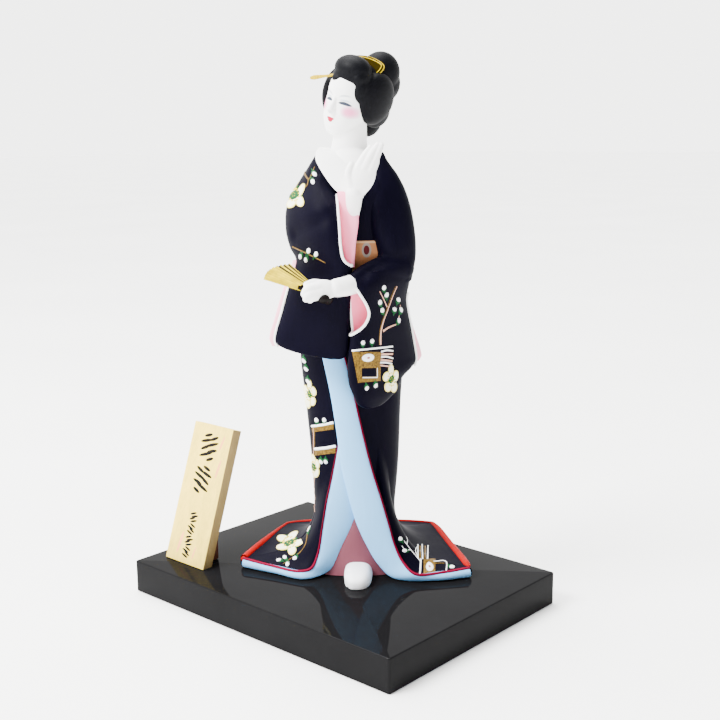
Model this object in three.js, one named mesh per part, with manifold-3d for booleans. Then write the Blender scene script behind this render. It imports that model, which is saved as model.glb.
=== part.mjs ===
// Hakata doll: a fired clay woman in a kimono with a spread train, holding a folding fan,
// with a comb and a pin in her hair, on a black lacquered plinth with a leaning name tablet.
// Millimetres, +Z up, origin at the bottom centre of the plinth, its long front edge along -Y.

import * as THREE from 'three';
import { mergeVertices } from 'three/addons/utils/BufferGeometryUtils.js';
import Module from 'manifold-3d';

// Plinth
const plinthLength = 210;
const plinthDepth = 155;
const plinthHeight = 20;
const plinthChamfer = 0.8;

// Figure: every form below is shaped at sculptHeight and then brought to figureHeight
const figureHeight = 309;
const sculptHeight = 309;
const figureTurn = 42;
const figureSetback = 14;
const restGap = 0.3;
const shortestEdge = 0.2;
const thinnestFace = 0.04;

// Accessories in the hair and the hand, at the figure's own scale
const seatGap = 0.35;
const combWidth = 25;
const combHeight = 11;
const combThickness = 1.8;
const pinLength = 27;
const pinWidth = 2.6;
const pinThickness = 1.4;
const fanRadius = 38;
const fanLeafStart = 15.5;
const fanPleats = 9;
const fanLeafThickness = 1.1;
const fanPleatDepth = 0.55;
const fanStickThickness = 2.6;
const fanHeadRadius = 3.6;

// Name tablet and the prop behind it
const tabletWidth = 36;
const tabletHeight = 88;
const tabletThickness = 7;
const tabletLean = 18.8;
const tabletFromEnd = 10;
const tabletFromFront = 16.3;
const propWidth = 16;
const propDepth = 12;
const propFromEdge = 8;

const black = new THREE.MeshStandardMaterial({ color: 0x17161a, roughness: 0.18, metalness: 0 });
const clay = new THREE.MeshStandardMaterial({ color: 0x1e1d30, roughness: 0.8, metalness: 0 });
const gilt = new THREE.MeshStandardMaterial({ color: 0xc9a23c, roughness: 0.35, metalness: 0.9 });
const giltPaper = new THREE.MeshStandardMaterial({ color: 0xe9d88e, roughness: 0.5, metalness: 0.3 });
const darkLacquer = new THREE.MeshStandardMaterial({ color: 0x2a1c18, roughness: 0.3, metalness: 0 });
const paleWood = new THREE.MeshStandardMaterial({ color: 0xe8d3a8, roughness: 0.6, metalness: 0 });
const brownWood = new THREE.MeshStandardMaterial({ color: 0x4a3424, roughness: 0.6, metalness: 0 });

const radians = THREE.MathUtils.degToRad;
const point = (x, y, z) => new THREE.Vector3(x, y, z);

// Smooth interpolation of a table whose first column is the key
function smoothTable(rows) {
  const last = rows.length - 1;
  const slope = (row, column) => {
    const low = rows[Math.max(row - 1, 0)];
    const high = rows[Math.min(row + 1, last)];
    return (high[column] - low[column]) / (high[0] - low[0]);
  };
  return (key) => {
    if (key <= rows[0][0]) return rows[0].slice(1);
    if (key >= rows[last][0]) return rows[last].slice(1);
    let row = 0;
    while (rows[row + 1][0] < key) row += 1;
    const span = rows[row + 1][0] - rows[row][0];
    const t = (key - rows[row][0]) / span;
    return rows[0].slice(1).map((unused, index) => {
      const column = index + 1;
      const start = rows[row][column];
      const end = rows[row + 1][column];
      const startWeight = (1 + 2 * t) * (1 - t) ** 2;
      const startPull = t * (1 - t) ** 2 * span * slope(row, column);
      const endPull = t * t * (1 - t) * span * slope(row + 1, column);
      return start * startWeight + end * (1 - startWeight) + startPull - endPull;
    });
  };
}

// Closed body through rings of equal point count, both ends filled
function loft(rings) {
  const count = rings[0].length;
  const positions = rings.flat().flatMap((p) => [p.x, p.y, p.z]);
  const index = [];
  for (let ring = 0; ring < rings.length - 1; ring += 1) {
    for (let side = 0; side < count; side += 1) {
      const a = ring * count + side;
      const b = ring * count + ((side + 1) % count);
      index.push(a, b, b + count, a, b + count, a + count);
    }
  }
  const ends = [0, rings.length - 1];
  for (const end of ends) {
    const centre = rings[end].reduce((sum, p) => sum.add(p), point(0, 0, 0)).divideScalar(count);
    const hub = positions.length / 3;
    positions.push(centre.x, centre.y, centre.z);
    for (let side = 0; side < count; side += 1) {
      const a = end * count + side;
      const b = end * count + ((side + 1) % count);
      index.push(...(end === 0 ? [b, a, hub] : [a, b, hub]));
    }
  }
  const geometry = new THREE.BufferGeometry();
  geometry.setAttribute('position', new THREE.Float32BufferAttribute(positions, 3));
  geometry.setIndex(index);
  return facingOut(geometry);
}

// Turns the faces round if they enclose a negative volume
function facingOut(geometry) {
  const place = geometry.getAttribute('position');
  const index = Array.from(geometry.getIndex().array);
  const [a, b, c] = [point(), point(), point()];
  let volume = 0;
  for (let i = 0; i < index.length; i += 3) {
    a.fromBufferAttribute(place, index[i]);
    b.fromBufferAttribute(place, index[i + 1]);
    c.fromBufferAttribute(place, index[i + 2]);
    volume += a.dot(b.clone().cross(c));
  }
  if (volume < 0) {
    for (let i = 0; i < index.length; i += 3) {
      [index[i + 1], index[i + 2]] = [index[i + 2], index[i + 1]];
    }
    geometry.setIndex(index);
  }
  return geometry;
}

// Flattened or boxy oval in a level plane; square 2 is an ellipse, 4 nearly a rectangle
function ovalRing(z, cx, cy, halfLength, halfDepth, turn, count, square = 2) {
  const ring = [];
  for (let step = 0; step < count; step += 1) {
    const angle = (2 * Math.PI * step) / count;
    const along = halfLength * Math.sign(Math.cos(angle)) * Math.abs(Math.cos(angle)) ** (2 / square);
    const across = halfDepth * Math.sign(Math.sin(angle)) * Math.abs(Math.sin(angle)) ** (2 / square);
    const x = cx + along * Math.cos(turn) - across * Math.sin(turn);
    const y = cy + along * Math.sin(turn) + across * Math.cos(turn);
    ring.push(point(x, y, z));
  }
  return ring;
}

// Rings across a curved path; rows are [x, y, z, radius, second radius]
function limb(rows, around, along) {
  const path = new THREE.CatmullRomCurve3(rows.map((row) => point(row[0], row[1], row[2])));
  const radii = smoothTable(rows.map((row, i) => [i / (rows.length - 1), row[3], row[4] ?? row[3]]));
  const rings = [];
  const side = point(1, 0, 0);
  for (let step = 0; step <= along; step += 1) {
    const t = step / along;
    const centre = path.getPoint(t);
    const tangent = path.getTangent(t);
    if (step === 0 && Math.hypot(tangent.x, tangent.y) > 0.5) side.set(-tangent.y, tangent.x, 0);
    side.addScaledVector(tangent, -side.dot(tangent)).normalize();
    const rise = tangent.clone().cross(side);
    const [wide, high] = radii(t);
    const ring = [];
    for (let k = 0; k < around; k += 1) {
      const angle = (2 * Math.PI * k) / around;
      ring.push(centre.clone()
        .addScaledVector(side, wide * Math.cos(angle))
        .addScaledVector(rise, high * Math.sin(angle)));
    }
    rings.push(ring);
  }
  return loft(rings);
}

// Ellipsoid in a frame: centre and radii along the frame's own axes
function lump(frame, centre, radii, around = 16, rows = 10) {
  const ball = new THREE.SphereGeometry(1, around, rows);
  ball.scale(radii[0], radii[1], radii[2]);
  ball.translate(centre[0], centre[1], centre[2]);
  ball.applyMatrix4(frame);
  return ball;
}

// Frame at a place, turned about Z, tilted to its own left and then pitched forward
function frameAt(x, y, z, turn, pitch = 0, tilt = 0) {
  const matrix = new THREE.Matrix4().makeTranslation(x, y, z);
  matrix.multiply(new THREE.Matrix4().makeRotationZ(turn));
  matrix.multiply(new THREE.Matrix4().makeRotationX(-tilt));
  return matrix.multiply(new THREE.Matrix4().makeRotationY(pitch));
}

// Solids
const library = await Module();
library.setup();

function solid(geometry) {
  const bare = geometry.clone();
  bare.deleteAttribute('normal');
  bare.deleteAttribute('uv');
  const merged = mergeVertices(bare, 1e-4);
  return new library.Manifold(new library.Mesh({
    numProp: 3,
    vertProperties: new Float32Array(merged.getAttribute('position').array),
    triVerts: new Uint32Array(merged.getIndex().array),
  }));
}

function geometryOf(body) {
  const mesh = body.getMesh();
  const geometry = new THREE.BufferGeometry();
  geometry.setAttribute('position', new THREE.BufferAttribute(new Float32Array(mesh.vertProperties), 3));
  geometry.setIndex(new THREE.BufferAttribute(new Uint32Array(mesh.triVerts), 1));
  return geometry;
}

// Disjoint sets over a run of numbers
function sets(count) {
  const leader = Array.from({ length: count }, (unused, i) => i);
  const find = (i) => {
    let top = i;
    while (leader[top] !== top) top = leader[top];
    leader[i] = top;
    return top;
  };
  const join = (a, b) => {
    leader[find(a)] = find(b);
  };
  return { find, join };
}

// Closes up edges too short to matter and turns the long side of flat slivers, leaving sound faces
function withoutSlivers(geometry) {
  const place = geometry.getAttribute('position');
  const index = geometry.getIndex().array;
  const corners = Array.from({ length: place.count }, (unused, i) => point().fromBufferAttribute(place, i));
  const faces = Array.from({ length: index.length / 3 }, (unused, i) => [0, 1, 2].map((k) => index[3 * i + k]));
  const around = corners.map(() => new Set());
  const setFace = (face, next) => {
    (faces[face] ?? []).forEach((corner) => around[corner].delete(face));
    (next ?? []).forEach((corner) => around[corner].add(face));
    faces[face] = next;
  };
  faces.forEach((face, i) => setFace(i, face));
  const beside = (corner) => new Set([...around[corner]].flatMap((face) => faces[face]));
  const sharedFaces = (a, b) => [...around[a]].filter((face) => around[b].has(face));
  const length = (a, b) => corners[a].distanceTo(corners[b]);

  const closeUp = (a, b) => {
    const common = [...beside(a)].filter((corner) => beside(b).has(corner));
    const shared = sharedFaces(a, b);
    if (common.length !== 4 || shared.length !== 2) return 0;
    const [keep, drop] = corners[a].z <= corners[b].z ? [a, b] : [b, a];
    shared.forEach((face) => setFace(face, null));
    [...around[drop]].forEach((face) => {
      setFace(face, faces[face].map((corner) => (corner === drop ? keep : corner)));
    });
    return 1;
  };

  const swap = (face, a, b, c) => {
    const other = sharedFaces(a, b).find((shared) => shared !== face);
    const d = faces[other].find((corner) => corner !== a && corner !== b);
    if (sharedFaces(c, d).length) return 0;
    setFace(face, [a, d, c]);
    setFace(other, [d, b, c]);
    return 1;
  };

  for (let changes = 1, round = 0; changes && round < 12; round += 1) {
    changes = 0;
    for (let i = 0; i < faces.length; i += 1) {
      for (let k = 0; faces[i] && k < 3; k += 1) {
        const [a, b] = [faces[i][k], faces[i][(k + 1) % 3]];
        if (length(a, b) < shortestEdge) changes += closeUp(a, b);
      }
    }
    for (let i = 0; i < faces.length; i += 1) {
      for (let k = 0; faces[i] && k < 3; k += 1) {
        const [a, b, c] = [0, 1, 2].map((step) => faces[i][(k + step) % 3]);
        const side = corners[b].clone().sub(corners[a]);
        const height = side.clone().cross(corners[c].clone().sub(corners[a])).length() / side.length();
        const longest = length(a, b) > length(b, c) && length(a, b) > length(c, a);
        if (longest && height < thinnestFace) changes += swap(i, a, b, c);
      }
    }
  }
  geometry.setIndex(faces.filter((face) => face).flat());
  return geometry;
}

// The outer skin of a body alone, so that no hollow stays sealed between joined forms
function outerSkin(geometry) {
  const place = geometry.getAttribute('position');
  const index = geometry.getIndex().array;
  const groups = sets(index.length / 3);
  const edges = new Map();
  for (let i = 0; i < index.length; i += 3) {
    for (let k = 0; k < 3; k += 1) {
      const [a, b] = [index[i + k], index[i + ((k + 1) % 3)]];
      const edge = `${Math.min(a, b)} ${Math.max(a, b)}`;
      if (edges.has(edge)) groups.join(i / 3, edges.get(edge));
      else edges.set(edge, i / 3);
    }
  }
  const shells = new Map();
  const corners = [point(), point(), point()];
  for (let i = 0; i < index.length; i += 3) {
    const shell = groups.find(i / 3);
    const entry = shells.get(shell) ?? { volume: 0, faces: [] };
    corners.forEach((corner, k) => corner.fromBufferAttribute(place, index[i + k]));
    entry.volume += corners[0].dot(corners[1].clone().cross(corners[2]));
    entry.faces.push(index[i], index[i + 1], index[i + 2]);
    shells.set(shell, entry);
  }
  const largest = [...shells.values()].reduce((best, entry) => (entry.volume > best.volume ? entry : best));
  geometry.setIndex(largest.faces);
  return geometry;
}

const solids = (geometries) => geometries.map((geometry) => solid(geometry));
const joined = (geometries) => solids(geometries).reduce((sum, body) => sum.add(body));

// Robe: the train's hem. Rows are x, y, hem height, height where the flare ends, hollowness of the flare
const hemRows = [
  [0, -17, 2, 34, 4],
  [13, -20, 2, 52, 3.2],
  [23, -30, 3.5, 72, 2.7],
  [34, -38, 4.5, 78, 2.6],
  [50, -35, 5.5, 66, 3],
  [67, -31.5, 6.5, 50, 3.8],
  [69, -27.5, 7, 44, 4],
  [61, 6, 9, 40, 4],
  [53.5, 33.5, 11, 38, 4],
  [46.5, 40.5, 11, 38, 4],
  [20, 45, 11, 40, 3.6],
  [-18, 46, 11, 40, 3.6],
  [-43, 42, 11, 38, 4],
  [-50, 35, 10.5, 38, 4],
  [-61, 12, 9, 40, 4],
  [-70, -8, 7, 42, 4],
  [-69.5, -12, 6.5, 42, 4],
  [-50, -22, 5.5, 50, 3.4],
  [-32, -31, 4.5, 62, 2.7],
  [-22, -28, 3.5, 60, 2.7],
  [-12, -19, 2, 48, 3.3],
];
const trainCentre = [0, 3];

// Column, hips, waist, chest and shoulders by height: centre x and y, half width, half depth, turn
const bodyRows = [
  [28, -1, 3, 24.3, 20.5, 0],
  [64, -0.2, 3, 26.7, 21.5, 0],
  [102, -1, 3, 29, 22.5, 0],
  [134, -1.6, 3, 31.4, 23.5, -6],
  [165, -1, 3, 30, 22.5, -20],
  [190, 0, 2, 26, 20, -34],
  [201, 0, 2, 26, 20, -36],
  [213, 0, 1.5, 26.5, 20.5, -38],
  [230, 0.5, 1.5, 27.5, 17, -40],
  [242, 0, 2, 22.5, 13, -40],
  [250, -0.5, 2, 14.5, 10, -40],
  [256, -1, 2, 8.5, 8, -40],
];
const bodyAt = smoothTable(bodyRows);

// Distance of the body's wall from its own centre line in one direction
function wallPoint(angle, z) {
  const [cx, cy, width, depth, turn] = bodyAt(z);
  const local = angle - radians(turn);
  const reach = (width * depth) / Math.hypot(depth * Math.cos(local), width * Math.sin(local));
  return point(cx + reach * Math.cos(angle), cy + reach * Math.sin(angle), z);
}

// Hem outline as closed smooth curves through the rows
function hemAt(share) {
  const count = hemRows.length;
  const scaled = share * count;
  const at = Math.floor(scaled) % count;
  const t = scaled - Math.floor(scaled);
  const row = (offset) => hemRows[(at + offset + count) % count];
  return row(0).map((unused, column) => {
    const start = row(0)[column];
    const end = row(1)[column];
    const ease = 0.5 * t * (1 - t) ** 2 * (end - row(-1)[column]);
    const arrive = 0.5 * t * t * (1 - t) * (row(2)[column] - start);
    const weight = (1 + 2 * t) * (1 - t) ** 2;
    return start * weight + end * (1 - weight) + ease - arrive;
  });
}

function robeBody(around, flareSteps, bodySteps) {
  const spokes = [];
  for (let step = 0; step < around; step += 1) {
    const [x, y, height, top, hollow] = hemAt(step / around);
    const angle = Math.atan2(y - trainCentre[1], x - trainCentre[0]);
    spokes.push({ x, y, height, top, hollow, angle });
  }
  const hemInset = 1.2;
  const crestInset = 2.4;
  const inset = (spoke, distance, z) => {
    const reach = Math.hypot(spoke.x - trainCentre[0], spoke.y - trainCentre[1]) - distance;
    return point(
      trainCentre[0] + reach * Math.cos(spoke.angle),
      trainCentre[1] + reach * Math.sin(spoke.angle),
      z,
    );
  };
  const rings = [
    spokes.map((spoke) => inset(spoke, hemInset, restGap)),
    spokes.map((spoke) => inset(spoke, 0, Math.max(0.4 * spoke.height, 1))),
    spokes.map((spoke) => inset(spoke, 0.5, 0.8 * spoke.height)),
    spokes.map((spoke) => inset(spoke, crestInset, spoke.height)),
  ];
  for (let step = 1; step <= flareSteps; step += 1) {
    const turn = (0.5 * Math.PI * step) / flareSteps;
    rings.push(spokes.map((spoke) => {
      const out = Math.cos(turn) ** spoke.hollow;
      const up = Math.sin(turn) ** spoke.hollow;
      const z = spoke.height + (spoke.top - spoke.height) * up;
      const crest = inset(spoke, crestInset, z);
      return wallPoint(spoke.angle, z).lerp(crest, out);
    }));
  }
  const top = bodyRows[bodyRows.length - 1][0];
  for (let step = 1; step <= bodySteps; step += 1) {
    const t = step / bodySteps;
    rings.push(spokes.map((spoke) => wallPoint(spoke.angle, spoke.top + (top - spoke.top) * t)));
  }
  return loft(rings);
}

// Sleeves hang as flat bags: rows are height, the two ends of the level section and its half thickness
const rightSleeveRows = [
  [134, -18, -30.5, -9, -33.5, 3],
  [138.5, -32, -26.5, -6, -34.5, 4.2],
  [143, -44.5, -22, -5, -34.5, 5.2],
  [158, -42.5, -20, -5, -35.5, 6.5],
  [178, -36, -15, -5, -36, 8],
  [192, -31, -8, -6, -35.5, 10],
  [208, -32.5, -3, -9, -33, 12.2],
  [222, -31.5, 2, -13, -28, 11.5],
  [235, -25.5, 5, -18, -14, 8.5],
  [244, -21.5, 5, -20, -5, 5],
  [250, -20, 4, -19, 0, 2.5],
];
const leftSleeveRows = [
  [110, 9, -32, 19, -20, 2.5],
  [115, 3, -36, 24, -15, 4.5],
  [124, -1, -39, 33, -8, 6],
  [131, -1.5, -40, 35.5, -5, 6],
  [150, -2, -41, 31.5, -7, 6.5],
  [166, -2, -41, 27.5, -9, 7.5],
  [178, -2, -41, 28.5, -11, 8.5],
  [187, 6, -34, 28, -12, 8],
];
const leftShoulderRows = [
  [178, 18, -19, 29.5, -11, 8],
  [194, 18, -19, 31, -10, 9.8],
  [212, 13, -18, 30, -8, 10],
  [228, 11, -13.5, 26.5, -6, 9.6],
  [239, 12, -10, 22, -6, 8],
  [247, 13.5, -8, 17.5, -6, 5],
  [252, 15, -6.5, 16.5, -6, 2.4],
];

function sleeve(rows, around, along) {
  const section = smoothTable(rows);
  const bottom = rows[0][0];
  const height = rows[rows.length - 1][0] - bottom;
  const rings = [];
  for (let step = 0; step <= along; step += 1) {
    const z = bottom + (height * (1 - Math.cos((Math.PI * step) / along))) / 2;
    const [x1, y1, x2, y2, half] = section(z);
    const turn = Math.atan2(y2 - y1, x2 - x1);
    const length = Math.hypot(x2 - x1, y2 - y1) / 2 + half * 0.4;
    rings.push(ovalRing(z, (x1 + x2) / 2, (y1 + y2) / 2, length, half, turn, around, 2.6));
  }
  return loft(rings);
}

// Turned back lapel: a band between two edges that fall together, thick towards the body
function lapel(outerRows, innerRows, along, swell, depth) {
  const curve = (rows) => new THREE.CatmullRomCurve3(rows.map((row) => point(...row)), false, 'centripetal');
  const outer = curve(outerRows);
  const inner = curve(innerRows);
  const rings = [];
  for (let step = 0; step <= along; step += 1) {
    const t = step / along;
    const a = outer.getPoint(t);
    const b = inner.getPoint(t);
    const middle = a.clone().add(b).multiplyScalar(0.5);
    const back = point(-middle.x * 0.25, trainCentre[1] - middle.y, 0).normalize();
    const at = (share, lift) => a.clone().lerp(b, share).addScaledVector(back, -lift);
    rings.push([
      at(0, -0.4), at(0.15, swell * 0.7), at(0.5, swell), at(0.85, swell * 0.7), at(1, -0.4),
      at(0.9, -depth), at(0.5, -depth * 1.2), at(0.1, -depth),
    ]);
  }
  return loft(rings);
}

const rightLapel = {
  outer: [
    [-6.3, -20.5, 137], [-1.2, -21.5, 115], [4.2, -23, 90], [9.5, -24.5, 68], [15.5, -26.5, 48],
    [19.8, -28.5, 33], [23.2, -31, 21], [28, -34.5, 11.5], [35, -38.5, 5.8], [52, -35.5, 5.5],
    [67.5, -31, 6.4],
  ],
  inner: [
    [-19.9, -17.5, 137], [-14.6, -20.5, 112], [-11, -22.5, 88], [-8.6, -24, 68], [-4.5, -25.5, 50],
    [0, -26.5, 34], [6, -27, 20], [13, -28.5, 8], [22, -33.5, 1], [48, -36.5, 0.6],
    [68, -31.5, 0.6],
  ],
};
const leftLapel = {
  outer: [
    [-10.3, -21, 80], [-14, -22, 62], [-17.6, -23.5, 46], [-20.5, -25, 29], [-23.2, -27, 14],
    [-27, -30.5, 6.8], [-34, -30.8, 5], [-51, -22, 5.2], [-69, -12.3, 6.4],
  ],
  inner: [
    [-7, -22, 80], [-4.5, -22.5, 62], [-2, -23, 46], [-4, -23, 30], [-9.5, -23.5, 16],
    [-15.5, -25, 4], [-30, -33, 0.7], [-50, -23, 0.6], [-69.2, -12.6, 0.6],
  ],
};

// Collars: a rounded band laid round the neck, low at the back and crossing in front
function collar(rows, thick, deep) {
  return limb(rows.map((row) => [...row, thick, deep]), 8, 14);
}

// Head: front, back and half width of level sections by height, in the head's own frame
const headPlace = { x: -0.8, y: 0, z: 280, turn: -130, pitch: 1, tilt: 16 };
const headFrame = frameAt(
  headPlace.x, headPlace.y, headPlace.z,
  radians(headPlace.turn), radians(headPlace.pitch), radians(headPlace.tilt),
);
const headRows = [
  [-15.6, 10.5, 4, 2.5],
  [-14.4, 13, 0, 5.4],
  [-11.5, 13.8, -4, 8.4],
  [-8, 14.3, -8, 10.6],
  [-3, 14.6, -12, 12.2],
  [3, 14.4, -15.5, 13],
  [9, 14.6, -17, 13],
  [15, 12.4, -15, 11.4],
  [20, 7, -10, 7.5],
  [22.5, 1, -4, 2.5],
];

function head(around, along) {
  const section = smoothTable(headRows);
  const bottom = headRows[0][0];
  const height = headRows[headRows.length - 1][0] - bottom;
  const rings = [];
  for (let step = 0; step <= along; step += 1) {
    const z = bottom + (height * (1 - Math.cos((Math.PI * step) / along))) / 2;
    const [front, back, half] = section(z);
    const middle = (front + back) / 2;
    rings.push(ovalRing(z, middle, 0, front - middle, half, 0, around, 2.2));
  }
  const body = loft(rings);
  body.applyMatrix4(headFrame);
  return body;
}

const noseRows = [[14, 0, 5, 0.9], [15.6, 0, -0.5, 1.5], [16.6, 0, -4.2, 1.9], [14.6, 0, -5.6, 1.6]];

function nose() {
  const body = limb(noseRows, 8, 6);
  body.applyMatrix4(headFrame);
  return body;
}

// Hair: rolls and wings over the head, in the head's own frame (x to the front, y to her left)
const hairRolls = [
  { at: [4.2, 0, 19.3], size: [9, 11, 8] },
  { at: [-6, 12, 4.5], size: [12.5, 7.5, 15.5] },
  { at: [-4, -13.5, 3.5], size: [12.5, 7.5, 15.5] },
  { at: [-12, 0, 6], size: [14, 13, 15.5] },
  { at: [-14, 0, -6], size: [11, 9.5, 11] },
  { at: [-22.7, 0, 17.7], size: [11, 10, 10.5] },
];

function hair() {
  return hairRolls.map((roll) => lump(headFrame, roll.at, roll.size, 13, 8));
}

// Hands and the foot in its split-toed sock
const fingers = (rows, around = 6, along = 4) => limb(rows, around, along);

function leftHand() {
  return [
    limb([[6, -38, 180, 4.6], [-4, -43, 178.5, 4.6], [-11, -45, 177.5, 4.2, 5]], 10, 5),
    lump(frameAt(-17, -45.5, 176, radians(-172)), [0, 0, 0], [9.5, 4.6, 6.4], 12, 8),
    fingers([[-19, -48, 179, 2.4], [-25.5, -49.5, 177.6, 2.2], [-27.6, -48, 174, 1.8]]),
    fingers([[-18, -48.5, 176, 2.4], [-24.5, -50, 174.4, 2.2], [-26.4, -48, 171.4, 1.8]]),
    fingers([[-16, -48, 173, 2.4], [-22, -49.5, 171.6, 2.2], [-24, -47.5, 169.8, 1.8]]),
    fingers([[-17, -45, 180, 2.4], [-22.5, -46, 181, 2.1], [-27, -47.5, 180, 1.6]]),
  ];
}

function rightHand() {
  return [
    limb([[-7, -27, 210, 5.6], [-1.5, -30, 221, 5], [1, -30.5, 229, 5, 4]], 10, 5),
    lump(frameAt(4.5, -30.5, 236.5, 0, radians(28)), [0, 0, 0], [7, 3.8, 10.5], 12, 8),
    fingers([[8.5, -31, 240, 2.6], [12.5, -31, 249, 2.2], [16.6, -29.5, 256.6, 1.4]]),
    fingers([[6, -31, 242, 2.6], [10, -31, 249.5, 2.2], [14, -29.5, 255.5, 1.4]]),
    fingers([[3.5, -30.5, 242, 2.5], [6.5, -30.5, 248.5, 2.1], [10.5, -29.5, 253, 1.4]]),
    fingers([[-1, -31, 234, 2.4], [-3, -31.5, 241, 2.1], [-0.5, -31, 246.5, 1.5]]),
  ];
}

const foot = () => lump(frameAt(1, -29, 2.6, 0), [0, 0, 0], [8.6, 16.8, 8.2], 14, 8);

// Everything below the level the figure rests on
function ground() {
  const depth = 20;
  const slab = new THREE.BoxGeometry(2 * plinthLength, 2 * plinthLength, depth);
  slab.translate(0, 0, restGap - depth / 2);
  return slab;
}

// Sash knot: a flat drum on the back of the sash
const knotTurn = -40;
const knotAway = 24.5;
const knotHeights = [184, 222];

function sashKnot() {
  const turn = radians(knotTurn);
  const cx = -Math.sin(turn) * knotAway;
  const cy = Math.cos(turn) * knotAway + 2;
  const [low, high] = knotHeights;
  const steps = 5;
  const rings = [];
  for (let step = 0; step <= steps; step += 1) {
    const t = step / steps;
    const swell = 0.72 + 0.28 * Math.sin(Math.PI * t);
    const z = low + (high - low) * t;
    rings.push(ovalRing(z, cx, cy, 15.5, 9.5 * swell, turn, 12, 5));
  }
  return loft(rings);
}

// Fan: a pleated wedge spread between two directions from its pivot
const fanPivot = point(-14, -44, 171.5);
const fanLowEdge = point(-35.8, -5, 12).normalize();
const fanHighEdge = point(-22.6, 24, 16.3).normalize();

function fanPoint(share, radius, lift) {
  const direction = fanLowEdge.clone().lerp(fanHighEdge, share).normalize();
  const across = fanLowEdge.clone().cross(fanHighEdge).normalize();
  return fanPivot.clone().addScaledVector(direction, radius).addScaledVector(across, lift);
}

// Wedge of the fan between two radii, with a zigzag section where pleat depth is given
function fanWedge(from, to, start, end, thickness, folds, pleatDepth) {
  const rings = [];
  for (let step = 0; step <= folds; step += 1) {
    const share = from + ((to - from) * step) / folds;
    const zigzag = pleatDepth * (step % 2 ? 1 : -1);
    const half = thickness / 2;
    rings.push([
      fanPoint(share, start, zigzag * 0.4 - half),
      fanPoint(share, end, zigzag - half),
      fanPoint(share, end, zigzag + half),
      fanPoint(share, start, zigzag * 0.4 + half),
    ]);
  }
  return loft(rings);
}

// Round head of the fan about its pivot
function fanHead(radius, thickness) {
  const disc = new THREE.CylinderGeometry(radius, radius, thickness, 14);
  const across = fanLowEdge.clone().cross(fanHighEdge).normalize();
  const turned = new THREE.Quaternion().setFromUnitVectors(point(0, 1, 0), across);
  disc.applyQuaternion(turned);
  disc.translate(fanPivot.x, fanPivot.y, fanPivot.z);
  return disc;
}

const fanLeaf = fanWedge(0, 1, fanLeafStart, fanRadius, fanLeafThickness, 2 * fanPleats, fanPleatDepth);
const fanSticks = geometryOf(joined([
  fanWedge(0.2, 0.8, 1, fanLeafStart - seatGap, fanStickThickness, 4, 0),
  fanHead(fanHeadRadius, fanStickThickness),
]));
const fanSeat = [
  fanWedge(-0.06, 1.06, 1, fanRadius + seatGap, fanStickThickness + 2 * seatGap, 4, 0),
  fanHead(fanHeadRadius + seatGap, fanStickThickness + 2 * seatGap),
];

// Comb: an arched plate set across the top of the hair behind the front roll
function combPlate(grow) {
  const half = combWidth / 2 + grow;
  const rise = combHeight + grow;
  const shape = new THREE.Shape();
  shape.moveTo(-half, -grow);
  shape.lineTo(half, -grow);
  shape.lineTo(half, rise * 0.45);
  shape.quadraticCurveTo(half * 0.86, rise, 0, rise);
  shape.quadraticCurveTo(-half * 0.86, rise, -half, rise * 0.45);
  shape.closePath();
  const thickness = combThickness + 2 * grow;
  const plate = new THREE.ExtrudeGeometry(shape, { depth: thickness, bevelEnabled: false, curveSegments: 7 });
  plate.translate(0, 0, -thickness / 2);
  plate.rotateX(Math.PI / 2);
  plate.rotateZ(Math.PI / 2);
  plate.applyMatrix4(headFrame.clone().multiply(frameAt(-5.6, 1, 16.4, 0, radians(-8))));
  return plate;
}

// Hairpin: a flat tapered bar across the hair, its broad end clear on her right side
function pinBar(grow) {
  const rows = [
    [-pinLength + 4, 0.4], [-pinLength / 2, 0.55], [2, 0.6], [9, 1], [11, 0.7],
  ];
  const wide = smoothTable(rows);
  const rings = [];
  const steps = 6;
  for (let step = 0; step <= steps; step += 1) {
    const end = step === 0 ? -grow : step === steps ? grow : 0;
    const y = rows[0][0] + ((rows[4][0] - rows[0][0]) * step) / steps + end;
    const across = (pinWidth / 2) * wide(y)[0] + grow;
    const half = pinThickness / 2 + grow;
    rings.push([
      point(-half, y, -across), point(half, y, -across), point(half, y, across), point(-half, y, across),
    ]);
  }
  const bar = loft(rings);
  bar.rotateZ(Math.PI);
  bar.applyMatrix4(headFrame.clone().multiply(frameAt(11, -11, 12.9, radians(20), 0, radians(-20))));
  return bar;
}

// The figure's place on the plinth
const figurePlace = frameAt(0, figureSetback, plinthHeight, radians(figureTurn));
figurePlace.scale(point(1, 1, 1).multiplyScalar(figureHeight / sculptHeight));
const inPlace = (geometry) => geometry.applyMatrix4(figurePlace);

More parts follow.
